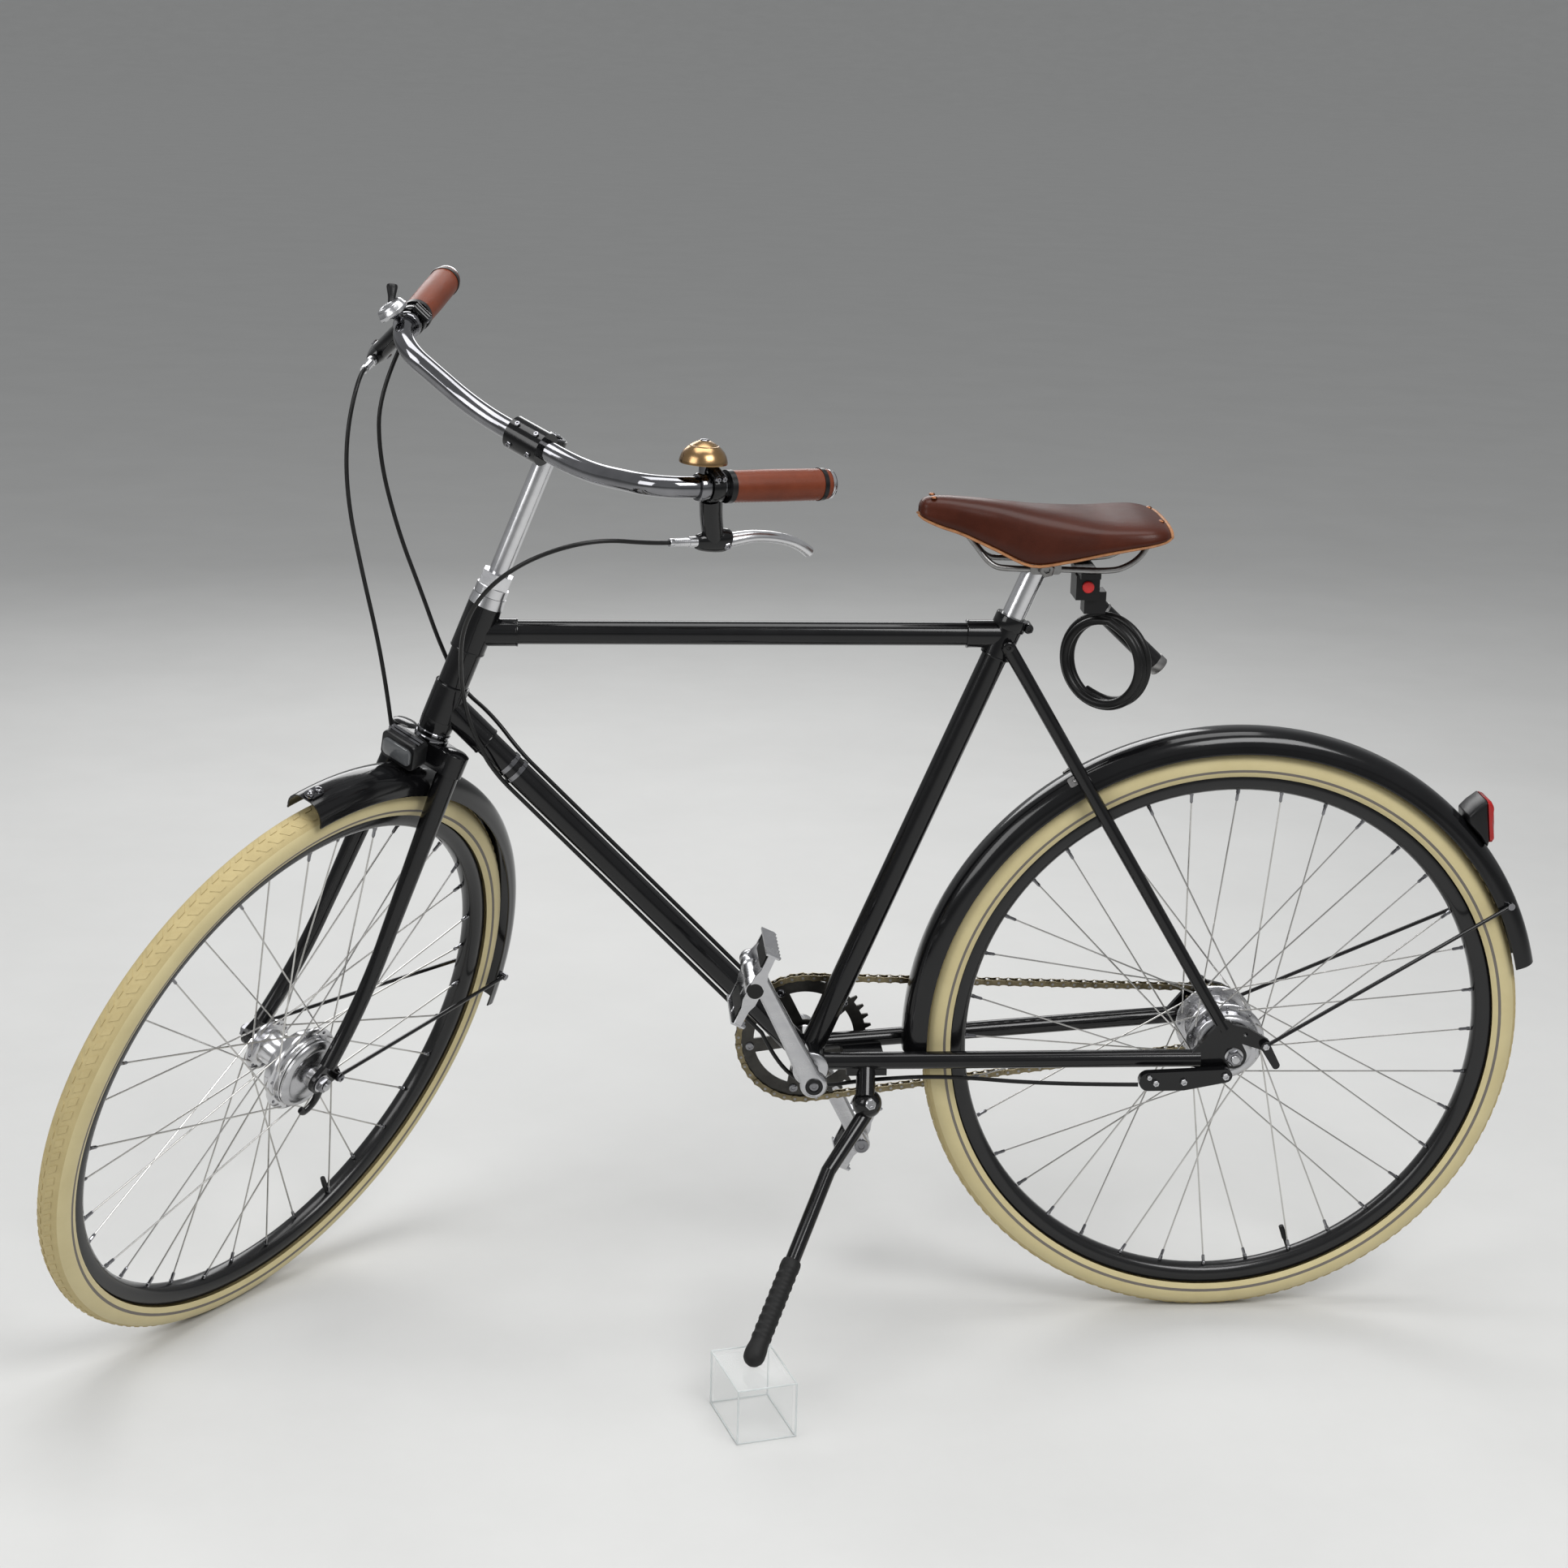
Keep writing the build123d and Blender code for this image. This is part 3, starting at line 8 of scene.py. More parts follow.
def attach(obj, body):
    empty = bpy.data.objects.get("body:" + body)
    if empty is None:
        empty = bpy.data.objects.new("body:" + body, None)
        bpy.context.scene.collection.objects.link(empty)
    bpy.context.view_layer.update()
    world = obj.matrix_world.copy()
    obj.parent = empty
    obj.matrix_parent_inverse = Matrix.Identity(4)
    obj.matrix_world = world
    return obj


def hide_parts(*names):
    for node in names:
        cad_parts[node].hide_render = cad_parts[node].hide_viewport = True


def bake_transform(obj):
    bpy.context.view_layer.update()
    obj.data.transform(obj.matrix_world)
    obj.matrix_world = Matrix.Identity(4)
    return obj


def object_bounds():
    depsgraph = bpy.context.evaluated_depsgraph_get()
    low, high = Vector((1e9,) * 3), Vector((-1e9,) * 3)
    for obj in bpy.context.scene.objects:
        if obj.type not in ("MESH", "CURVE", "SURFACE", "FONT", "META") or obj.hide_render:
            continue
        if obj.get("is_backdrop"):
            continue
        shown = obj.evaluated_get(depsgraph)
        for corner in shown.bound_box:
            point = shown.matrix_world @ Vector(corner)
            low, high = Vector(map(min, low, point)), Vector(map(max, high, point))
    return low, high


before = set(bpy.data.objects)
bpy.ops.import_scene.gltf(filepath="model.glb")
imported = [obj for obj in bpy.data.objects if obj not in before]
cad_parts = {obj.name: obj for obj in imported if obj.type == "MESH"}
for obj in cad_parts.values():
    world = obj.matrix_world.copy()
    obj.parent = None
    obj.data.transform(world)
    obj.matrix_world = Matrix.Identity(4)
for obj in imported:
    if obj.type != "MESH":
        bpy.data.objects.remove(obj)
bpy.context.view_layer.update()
scene = bpy.context.scene
scene.view_settings.view_transform = "Standard"

# Sizes are in millimetres on the straight, upright bicycle, as in the part's source. Turns are in degrees.
HANDS = (1, -1)
LEAN, NOSE, LIFT = -2.3, 0.6481, -5.9742
BARS_TURN, CRANK_TURN, PEDAL_TURN = 54.2, -64, -51
HEAD_ANGLE, SEAT_ANGLE, RIGHT_LEVER_TILT = radians(67.6), radians(67.5), radians(33)
ARM, FORK_RAKE = 170, 28.5
AHEAD, SIDE, UP = Vector((1, 0, 0)), Vector((0, 1, 0)), Vector((0, 0, 1))
REAR, FRONT, CRANK = Vector((-543, 0, 350)), Vector((543, 0, 350)), Vector((-61, 0, 329))
STEER_UP = Vector((-cos(HEAD_ANGLE), 0, sin(HEAD_ANGLE)))
STEER_FRONT = Vector((sin(HEAD_ANGLE), 0, cos(HEAD_ANGLE)))
SEAT_UP = Vector((-cos(SEAT_ANGLE), 0, sin(SEAT_ANGLE)))
STEER_FOOT = FRONT - STEER_FRONT * FORK_RAKE


def at(origin, ahead, across, above):
    """A point beside another one."""
    return origin + Vector((ahead, across, above))


def steer_at(distance):
    """A point of the steering axis."""
    return STEER_FOOT + STEER_UP * distance


def turn(origin, axis, deg):
    """A turn about an axis through a point."""
    there, back = Matrix.Translation(origin), Matrix.Translation(-origin)
    return there @ Matrix.Rotation(radians(deg), 4, axis) @ back


PARKED = (Matrix.Translation((0, 0, LIFT)) @ Matrix.Rotation(radians(LEAN), 4, "X")
          @ Matrix.Rotation(radians(NOSE), 4, "Y"))
STEERED = turn(STEER_FOOT, STEER_UP, BARS_TURN)
CRANKED = turn(CRANK, SIDE, CRANK_TURN)
PEDAL = {hand: CRANKED @ turn(at(CRANK, ARM * hand, 0, 0), SIDE, PEDAL_TURN) for hand in HANDS}
PLACE = {
    "frame": PARKED, "rear_wheel": PARKED, "sprocket": PARKED, "stand": PARKED,
    "steering": PARKED @ STEERED, "front_wheel": PARKED @ STEERED,
    "crank": PARKED @ CRANKED, "pedal_left": PARKED @ PEDAL[1], "pedal_right": PARKED @ PEDAL[-1],
}
MM = Matrix.Scale(0.001, 4)
POST_TOP, SEAT_TOP, SEAT_JOINT = (CRANK + SEAT_UP * distance for distance in (623.4, 565, 543.4))
CROWN, DOWN_JOINT, TOP_JOINT = (steer_at(distance) for distance in (393.4, 449.9, 535.4))
DOWN_RUN = (DOWN_JOINT - CRANK).normalized()
DOWN_RISE = Vector((-DOWN_RUN.z, 0, DOWN_RUN.x))
TOP_RUN = (TOP_JOINT - SEAT_JOINT).normalized()
STAND_PIVOT = at(CRANK, -65, 50, -39)
CLAMP = at(steer_at(740.9), 31.5, 0, 33)
BAR_END = {h: at(CLAMP, -160, 270 * h, 26) for h in HANDS}
BAR_RUN = {h: Vector((177, -86 * h, 14)).normalized() for h in HANDS}
BAR_OUT = {h: (UP.cross(BAR_RUN[h]) * h).normalized() for h in HANDS}
LEVER_DOWN = {1: -UP, -1: BAR_OUT[-1] * sin(RIGHT_LEVER_TILT) - UP * cos(RIGHT_LEVER_TILT)}
LEVER_RING = {h: BAR_END[h] + BAR_RUN[h] * 136 for h in HANDS}
LEVER_MID = {h: LEVER_RING[h] - BAR_RUN[h] * 13 + LEVER_DOWN[h] * 66 for h in HANDS}
BELL_FOOT = BAR_END[1] + BAR_RUN[1] * 150
SHIFTER_MID = BAR_END[-1] + BAR_RUN[-1] * 151
RISER_X, RISER_Y, RISER_HEIGHT, RISER_TURN = 15.9, 272.6, 64, 14.3
CABLE_RADIUS, LOCK_RADIUS = 0.0024, 0.0048

# Camera at the photograph's angle
IMAGE_SIDE, FOCAL_PIXELS = 1932, 3366.55
CAMERA_PLACE = (0.2301, 2.9482, 1.4802)
yaw, pitch, roll = radians(-4.9), radians(15.77), radians(1.59)
look = Vector((cos(pitch) * sin(yaw), -cos(pitch) * cos(yaw), -sin(pitch)))
level = look.cross(UP).normalized()
over = level.cross(look)
right = level * cos(roll) + over * sin(roll)
above = over * cos(roll) - level * sin(roll)
camera_data = bpy.data.cameras.new("camera")
camera = bpy.data.objects.new("camera", camera_data)
scene.collection.objects.link(camera)
camera_data.sensor_width = 36
camera_data.lens = 36 * FOCAL_PIXELS / IMAGE_SIDE
camera.matrix_world = Matrix.Translation(CAMERA_PLACE) @ Matrix((right, above, -look)).transposed().to_4x4()
scene.camera = camera


# Materials
def material(name, colour, rough, metal=0.0, dark=None, scale=40.0, bump=0.0, bump_scale=200.0,
             rough_spread=0.08, coat=0.0, sheen=0.0, grain="noise", transmission=0.0, stretch=None,
             streak=0.5, alpha=1.0, specular=0.5):
    """A procedural surface: colour and roughness vary with noise, and a finer texture gives the bump."""
    made = bpy.data.materials.new(name)
    made.use_nodes = True
    nodes, links = made.node_tree.nodes, made.node_tree.links
    shader = nodes["Principled BSDF"]
    place = nodes.new("ShaderNodeTexCoord")
    mapping = nodes.new("ShaderNodeMapping")
    links.new(place.outputs["Object"], mapping.inputs["Vector"])
    if stretch:
        mapping.inputs["Scale"].default_value = stretch
    noise = nodes.new("ShaderNodeTexNoise")
    noise.inputs["Scale"].default_value = scale
    noise.inputs["Detail"].default_value = 6
    noise.inputs["Roughness"].default_value = 0.65
    links.new(mapping.outputs["Vector"], noise.inputs["Vector"])
    ramp = nodes.new("ShaderNodeValToRGB")
    low = dark if dark else tuple(value * 0.82 for value in colour)
    for stop, share, shade in zip(ramp.color_ramp.elements, (-0.5, 0.5), (low, colour)):
        stop.position = 0.5 + streak * share
        stop.color = (*shade, 1)
    links.new(noise.outputs["Fac"], ramp.inputs["Fac"])
    links.new(ramp.outputs["Color"], shader.inputs["Base Color"])
    spread = nodes.new("ShaderNodeMapRange")
    spread.inputs["To Min"].default_value = max(0.02, rough - rough_spread)
    spread.inputs["To Max"].default_value = min(1.0, rough + rough_spread)
    links.new(noise.outputs["Fac"], spread.inputs["Value"])
    links.new(spread.outputs["Result"], shader.inputs["Roughness"])
    for socket, value in (("Metallic", metal), ("Coat Weight", coat), ("Coat Roughness", 0.05), ("IOR", 1.5),
                          ("Sheen Weight", sheen), ("Transmission Weight", transmission), ("Alpha", alpha),
                          ("Specular IOR Level", specular)):
        shader.inputs[socket].default_value = value
    if bump:
        if grain == "cells":
            fine = nodes.new("ShaderNodeTexVoronoi")
            fine.feature = "DISTANCE_TO_EDGE"
            source = fine.outputs["Distance"]
        else:
            fine = nodes.new("ShaderNodeTexNoise")
            fine.inputs["Detail"].default_value = 4
            source = fine.outputs["Fac"]
        fine.inputs["Scale"].default_value = bump_scale
        links.new(mapping.outputs["Vector"], fine.inputs["Vector"])
        relief = nodes.new("ShaderNodeBump")
        relief.inputs["Strength"].default_value = bump
        relief.inputs["Distance"].default_value = 0.0006
        links.new(source, relief.inputs["Height"])
        links.new(relief.outputs["Normal"], shader.inputs["Normal"])
    made.diffuse_color = (*colour, 1)
    return made


paint = material("black_paint", (0.0055, 0.0055, 0.006), 0.15, dark=(0.003, 0.003, 0.0035), scale=25,
                 bump=0.04, bump_scale=600, rough_spread=0.05, coat=0.2, specular=0.3)
rim_black = material("rim_black", (0.008, 0.008, 0.0085), 0.24, scale=30, bump=0.05, bump_scale=500, coat=0.2,
                     specular=0.35)
# Chrome colour darkened well below real chrome: painted shade standing in for the dark reflections of a dim
# room. Its darker noise patches vary at random.
chrome = material("chrome", (0.28, 0.28, 0.295), 0.08, 1.0, dark=(0.17, 0.17, 0.18), scale=18, bump=0.02,
                  bump_scale=300)
bright = material("bright_alloy", (0.74, 0.74, 0.75), 0.22, 1.0, dark=(0.58, 0.58, 0.60), scale=30, bump=0.05,
                  bump_scale=420)
dark_steel = material("dark_steel", (0.075, 0.072, 0.066), 0.34, 0.9, dark=(0.035, 0.034, 0.032), scale=60,
                      bump=0.1, bump_scale=300)
alloy = material("alloy", (0.56, 0.56, 0.57), 0.26, 1.0, dark=(0.46, 0.46, 0.48), scale=30, bump=0.05,
                 bump_scale=420, stretch=(1, 1, 4))
steel = material("dull_steel", (0.36, 0.36, 0.36), 0.36, 1.0, dark=(0.22, 0.21, 0.20), scale=60, bump=0.1,
                 bump_scale=300)
spoke_steel = material("spoke_steel", (0.70, 0.69, 0.67), 0.24, 1.0, dark=(0.45, 0.44, 0.42), scale=14)
chain_steel = material("chain_steel", (0.30, 0.25, 0.15), 0.34, 1.0, dark=(0.09, 0.075, 0.045), scale=90,
                       bump=0.1, bump_scale=500)
cream = material("cream_rubber", (0.60, 0.52, 0.29), 0.72, dark=(0.50, 0.42, 0.215), scale=22, bump=0.25,
                 bump_scale=900, sheen=0.15, streak=0.8)
tread_cream = material("tread_rubber", (0.52, 0.43, 0.22), 0.82, dark=(0.40, 0.32, 0.15), scale=45, bump=0.35,
                       bump_scale=700, streak=0.7)
stripe = material("stripe_grey", (0.16, 0.14, 0.12), 0.6, scale=60, bump=0.1)
leather = material("saddle_leather", (0.066, 0.0125, 0.0045), 0.36, dark=(0.028, 0.0055, 0.0022), scale=16,
                   bump=0.2, bump_scale=420, grain="cells", coat=0.05, rough_spread=0.14, streak=0.6,
                   specular=0.2)
leather_edge = material("leather_edge", (0.42, 0.19, 0.075), 0.6, dark=(0.22, 0.09, 0.035), scale=120,
                        bump=0.3, bump_scale=700)
grip_leather = material("grip_leather", (0.19, 0.038, 0.012), 0.44, dark=(0.10, 0.019, 0.006), scale=28,
                        bump=0.3, bump_scale=480, grain="cells", coat=0.04, rough_spread=0.12, streak=0.7,
                        specular=0.3)
thread = material("thread", (0.42, 0.30, 0.17), 0.8, scale=200, bump=0.2)
plastic = material("black_plastic", (0.006, 0.006, 0.0065), 0.32, scale=40, bump=0.1, bump_scale=900,
                   specular=0.3)
rubber = material("black_rubber", (0.009, 0.009, 0.009), 0.6, scale=50, bump=0.3, bump_scale=700,
                  specular=0.3)
sheath = material("cable_sheath", (0.006, 0.006, 0.006), 0.36, scale=60, bump=0.08, bump_scale=800,
                  specular=0.3)
brass = material("brass", (0.46, 0.30, 0.15), 0.24, 1.0, dark=(0.27, 0.16, 0.075), scale=24, bump=0.05)
copper = material("copper", (0.28, 0.12, 0.06), 0.36, 1.0, scale=80, bump=0.05)
red_glass = material("red_lens", (0.55, 0.012, 0.012), 0.12, scale=60, bump=0.1, bump_scale=500,
                     transmission=0.35)
clear = material("clear_plastic", (0.90, 0.93, 0.93), 0.06, scale=10, rough_spread=0.04, alpha=0.09)
clear_edge = material("polished_edge", (0.86, 0.90, 0.90), 0.22, scale=40, bump=0.05, transmission=0.3)
lamp_glass = material("lamp_glass", (0.10, 0.105, 0.11), 0.08, scale=30, bump=0.25, bump_scale=260, coat=0.4)
red_plastic = material("red_plastic", (0.60, 0.02, 0.02), 0.3, scale=60, bump=0.05)


# Mesh making
class Shape:
    """Collects tubes, turned forms and plates in bicycle millimetres, then becomes one object on a body."""

    def __init__(self):
        self.verts, self.faces, self.slots = [], [], []

    def add(self, verts, faces, slot=0):
        base = len(self.verts)
        self.verts.extend(Vector(v) for v in verts)
        self.faces.extend([base + i for i in face] for face in faces)
        self.slots.extend([slot] * len(faces))

    def rings(self, rings, slot=0, closed=False, caps=True, wrap=True):
        """Skin between rings of equal counts. closed joins the last ring to the first."""
        count = len(rings[0])
        verts = [p for ring in rings for p in ring]
        faces = []
        spans = len(rings) if closed else len(rings) - 1
        for i in range(spans):
            a, b = i * count, ((i + 1) % len(rings)) * count
            for k in range(count if wrap else count - 1):
                n = (k + 1) % count
                faces.append((a + k, a + n, b + n, b + k))
        if caps and not closed:
            faces.append(tuple(reversed(range(count))))
            faces.append(tuple(range((len(rings) - 1) * count, len(rings) * count)))
        self.add(verts, faces, slot)

    def tube(self, points, radius, sides=12, slot=0, closed=False, flat=1.0, flat_axis=None):
        """A tube along points. radius is one number or one per point; flat squashes it along flat_axis."""
        count = len(points)
        radii = radius if hasattr(radius, "__len__") else [radius] * count
        tangents = []
        for i in range(count):
            before = points[i - 1] if i or closed else points[0]
            after = points[(i + 1) % count] if i < count - 1 or closed else points[-1]
            tangents.append((after - before).normalized())
        start = flat_axis if flat_axis else (UP if abs(tangents[0].z) < 0.9 else AHEAD)
        normal = (start - tangents[0] * start.dot(tangents[0])).normalized()
        rings = []
        for i in range(count):
            if i:
                normal = (normal - tangents[i] * normal.dot(tangents[i])).normalized()
            across = tangents[i].cross(normal)
            rings.append([points[i] + normal * (radii[i] * flat * cos(2 * pi * k / sides))
                          + across * (radii[i] * sin(2 * pi * k / sides)) for k in range(sides)])
        self.rings(rings, slot, closed)

    def turned(self, centre, axis, profile, segments=48, slot=0, closed=True):
        """Turn (along, radius) points about an axis. closed joins the profile's ends."""
        axis = axis.normalized()
        first = axis.orthogonal().normalized()
        second = axis.cross(first)
        rings = []
        for s in range(segments):
            a = 2 * pi * s / segments
            out = first * cos(a) + second * sin(a)
            rings.append([centre + axis * along + out * radius for along, radius in profile])
        self.rings(rings, slot, closed=True, wrap=closed)

    def arc(self, centre, profile, start, stop, segments, slot=0):
        """Sweep a closed (across, radius) profile about a wheel's axle from one angle to another."""
        rings = []
        for s in range(segments + 1):
            rings.append([wheel_at(centre, radius, start + (stop - start) * s / segments, across)
                          for across, radius in profile])
        self.rings(rings, slot)

    def plate(self, outline, thick, centre, x_dir, y_dir, slot=0):
        """A flat plate of an (x, y) outline, half its thickness to either side of its plane."""
        x_dir, y_dir = x_dir.normalized(), y_dir.normalized()
        normal = x_dir.cross(y_dir)
        self.rings([[centre + x_dir * x + y_dir * y + normal * (thick * half) for x, y in outline]
                    for half in (-0.5, 0.5)], slot)

    def bolt(self, foot, axis, radius, height, slot=0, sides=6):
        """A bolt head with a chamfered rim and a dimple."""
        profile = [(0, radius), (height * 0.75, radius), (height, radius * 0.82), (height, radius * 0.45),
                   (height * 0.6, radius * 0.40), (height * 0.6, 0.01)]
        self.turned(foot, axis, profile, sides, slot, closed=False)

    def ball(self, centre, radius, slot=0, squash=1.0, axis=UP, segments=20):
        steps = [pi * i / 10 for i in range(11)]
        profile = [(-radius * squash * cos(a), max(radius * sin(a), 0.01)) for a in steps]
        self.turned(centre, axis, profile, segments, slot, closed=False)

    def make(self, name, body, materials, replaces, slot, smooth=40, bevel=0.0, subsurf=0, solidify=0.0):
        """The mesh object, riding on its body and standing for the named nodes."""
        mesh = bpy.data.meshes.new(name)
        move = MM @ PLACE[body]
        mesh.from_pydata([move @ v for v in self.verts], [], self.faces)
        for m in materials if isinstance(materials, list) else [materials]:
            mesh.materials.append(m)
        mesh.polygons.foreach_set("material_index", self.slots)
        work = bmesh.new()
        work.from_mesh(mesh)
        bmesh.ops.recalc_face_normals(work, faces=work.faces)
        work.to_mesh(mesh)
        work.free()
        mesh.polygons.foreach_set("use_smooth", [True] * len(mesh.polygons))
        mesh.set_sharp_from_angle(angle=radians(smooth))
        made = bpy.data.objects.new(name, mesh)
        scene.collection.objects.link(made)
        if solidify:
            shell = made.modifiers.new("wall", "SOLIDIFY")
            shell.thickness, shell.offset = solidify, -1
        if bevel:
            edge = made.modifiers.new("edge", "BEVEL")
            edge.width, edge.segments, edge.limit_method = bevel, 2, "ANGLE"
        if subsurf:
            soft = made.modifiers.new("soft", "SUBSURF")
            soft.levels = soft.render_levels = subsurf
        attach(made, body)
        if replaces:
            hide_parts(*replaces)


def wheel_at(centre, radius, deg, across=0.0):
    """A point about a wheel's axle."""
    return at(centre, radius * cos(radians(deg)), across, radius * sin(radians(deg)))


def rounded(width, height, corner, steps=5):
    """The outline of a rectangle with rounded corners."""
    points = []
    for cx, cy, start in ((1, 1, 0), (-1, 1, 90), (-1, -1, 180), (1, -1, 270)):
        for i in range(steps + 1):
            a = radians(start + 90 * i / steps)
            x, y = cx * (width / 2 - corner), cy * (height / 2 - corner)
            points.append((x + corner * cos(a), y + corner * sin(a)))
    return points


def mirrored(half):
    """A closed outline from its half on one side of the line x = 0."""
    return half + [(-x, y) for x, y in reversed(half) if x]


def spline(points, steps=6):
    """A smooth line through points, for trim and shells."""
    line = []
    for i in range(len(points) - 1):
        p0, p1 = points[max(i - 1, 0)], points[i]
        p2, p3 = points[i + 1], points[min(i + 2, len(points) - 1)]
        for s in range(steps):
            t = s / steps
            line.append(0.5 * (2 * p1 + (p2 - p0) * t + (2 * p0 - 5 * p1 + 4 * p2 - p3) * t * t
                               + (3 * p1 - p0 - 3 * p2 + p3) * t ** 3))
    line.append(points[-1])
    return line


# Cables
def nurbs_curve(name, points, radius, mat):
    """A smooth cable whose control points are the route's, in metres on the parked bicycle."""
    data = bpy.data.curves.new(name, "CURVE")
    data.dimensions = "3D"
    line = data.splines.new("NURBS")
    line.points.add(len(points) - 1)
    for spot, point in zip(line.points, points):
        spot.co = (*point, 1)
    line.order_u = 3
    line.use_endpoint_u = True
    line.resolution_u = 8
    data.bevel_depth = radius
    data.bevel_resolution = 3
    data.use_fill_caps = True
    data.materials.append(mat)
    made = bpy.data.objects.new(name, data)
    scene.collection.objects.link(made)
    return made


def placed(points, body):
    """Points of the upright bicycle, moved to where the body is parked."""
    move = MM @ PLACE[body]
    return [move @ Vector(p) for p in points]


def as_mesh(curve):
    """The curve's tube as a mesh object with the same name."""
    name = curve.name
    graph = bpy.context.evaluated_depsgraph_get()
    mesh = bpy.data.meshes.new_from_object(curve.evaluated_get(graph))
    mesh.polygons.foreach_set("use_smooth", [True] * len(mesh.polygons))
    data = curve.data
    bpy.data.objects.remove(curve)
    bpy.data.curves.remove(data)
    made = bpy.data.objects.new(name, mesh)
    scene.collection.objects.link(made)
    return made


def cord_length(points, steps=8):
    """Length of the order 3 line that a curve with these control points draws."""
    total, last = 0.0, len(points) - 3
    for i in range(last + 1):
        a = points[i].lerp(points[i + 1], 0.5) if i else points[i]
        b = points[i + 1]
        c = points[i + 1].lerp(points[i + 2], 0.5) if i < last else points[i + 2]
        line = [a.lerp(b, t / steps).lerp(b.lerp(c, t / steps), t / steps) for t in range(steps + 1)]
        total += sum((q - p).length for p, q in zip(line, line[1:]))
    return total


# Coiled lock cable, whose turns wander a little in width
coil_mid = at(POST_TOP, -84, -6, -107)
coil_axis = Vector((-0.64, -0.77, 0)).normalized()
coil_out = UP.cross(coil_axis)
coil_steps, coil_start, coil_drop = 14, radians(100), 0.5
coil_radius, coil_wander, coil_width = 50.5, 3.0, 24.8
coil_last = 3.6 * coil_steps
coil_points = []
for i in range(int(coil_last) + 1):
    share = i / coil_last
    angle = 2 * pi * i / coil_steps + coil_start
    wide = coil_radius - coil_wander * sin(share * 9.0)
    fan = coil_width * share - coil_width / 2
    coil_points.append(coil_mid + coil_axis * fan + coil_out * (wide * cos(angle))
                       + UP * (wide * sin(angle) - coil_drop))
lock_line = placed(coil_points, "frame")
lock_coil = nurbs_curve("lock_cable", lock_line, LOCK_RADIUS, sheath)
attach(lock_coil, "frame")
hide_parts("lock_coil")
cord_length(lock_line)

# Control cables: from the bars to the down tube, to the crown, and from the down tube to the rear brake arm
adjuster = 20.5 + 32
cable_beside = 7
# tube radius, band, cable radius and clearance
cable_reach = 14.5 + 1.2 + 2.4 + 0.3
cable_lift = sqrt(cable_reach ** 2 - cable_beside ** 2)
frame_top = {f: DOWN_JOINT - DOWN_RUN * 120 + DOWN_RISE * (f * cable_lift) - SIDE * (cable_beside * f)
             for f in HANDS}
left_route = [LEVER_MID[1] + BAR_RUN[1] * (adjuster + lead) for lead in (0, 20)]
left_route += [(340, 158, 1044), (384, 122, 1024), (408, 90, 985), (412, 66, 935), (402, 52, 880)]
gear_route = [SHIFTER_MID + BAR_RUN[-1] * 11.5 - UP * 15]
gear_route += [(292, -190, 1035), (306, -168, 971), (311, -125, 900), (309, -82, 840), (308, -48, 790)]
front_route = [LEVER_MID[-1] + BAR_RUN[-1] * (adjuster + lead) for lead in (0, 20)]
front_route += [(326, -200, 985), (344, -172, 925), (358, -128, 862), (368, -86, 800), (380, -52, 746)]
front_route += [CROWN - SIDE * 37 + STEER_FRONT * 18.2]
left_low = [(324, 47, 764), (306, 32, 708), frame_top[-1] + DOWN_RUN * 20, frame_top[-1] + DOWN_RUN * 0.3]
gear_low = [(330, -46, 757), (296, -24, 734), frame_top[1] + DOWN_RUN * 20, frame_top[1] + DOWN_RUN * 0.3]
for name, bars, low in (("left_cable", left_route, left_low), ("gear_cable", gear_route, gear_low)):
    hose = as_mesh(nurbs_curve(name, placed(bars, "steering") + placed(low, "frame"), CABLE_RADIUS, sheath))
    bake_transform(hose)
    if name == "left_cable":
        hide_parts("bar_cables")
front_hose = nurbs_curve("front_cable", placed(front_route, "steering"), CABLE_RADIUS, sheath)
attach(front_hose, "steering")
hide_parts("front_brake_cable")
rear_route = [CRANK + DOWN_RUN * 60 - DOWN_RISE * cable_lift + SIDE * cable_beside]
for spot in ((31, 10, -17), (-14, 10, -36), (-67, 9, -28), (-154, 36, -12), (-269, 58, -15)):
    rear_route.append(at(CRANK, *spot))
rear_route.append(at(REAR, 111, 80, -28))
rear_hose = nurbs_curve("rear_brake_run", placed(rear_route, "frame"), CABLE_RADIUS, sheath)
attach(rear_hose, "frame")

# Finishes for the pieces of the part itself that stay in view
finishes = {
    paint: ("head_tube", "top_tube", "down_tube", "seat_tube", "bracket_shell", "chain_stays", "seat_stays",
            "dropouts", "lugs", "rear_brake_arm", "rear_guard_stays", "stand_bracket", "stand_leg",
            "fork_crown", "fork_blades", "stem_clamp", "front_guard_stays"),
    chrome: ("tube_bands", "handlebar"),
    bright: ("headset_cups", "seat_post", "stem_quill"),
    dark_steel: ("chainring",),
    chain_steel: ("sprocket",),
    plastic: ("lock_bracket", "lock_barrel"),
    sheath: ("rear_cables",),
}
for finish, names in finishes.items():
    for name in names:
        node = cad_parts[name]
        node.data.materials.clear()
        node.data.materials.append(finish)
for name in ("rear_brake_arm", "dropouts", "fork_crown", "lock_bracket"):
    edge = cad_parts[name].modifiers.new("edge", "BEVEL")
    edge.width, edge.segments, edge.limit_method, edge.angle_limit = 0.0012, 2, "ANGLE", radians(50)

# The lower bearing cup of the head tube is black, the upper one bright
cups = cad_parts["headset_cups"]
cups.data.materials.append(paint)
cup_split = MM @ PARKED @ steer_at(492)
for face in cups.data.polygons:
    if (cups.matrix_world @ face.center).z < cup_split.z:
        face.material_index = 1

# Wheels
TYRE_MID, TYRE_SECTION = 330.5, 19.5
TREAD_BLOCKS, TREAD_SHIFT = 132, 1.36
TREAD_CORNERS = ((7, 0.0), (7, 1.45), (30, 2.55), (30, 1.1))
VALVE_AT = 250


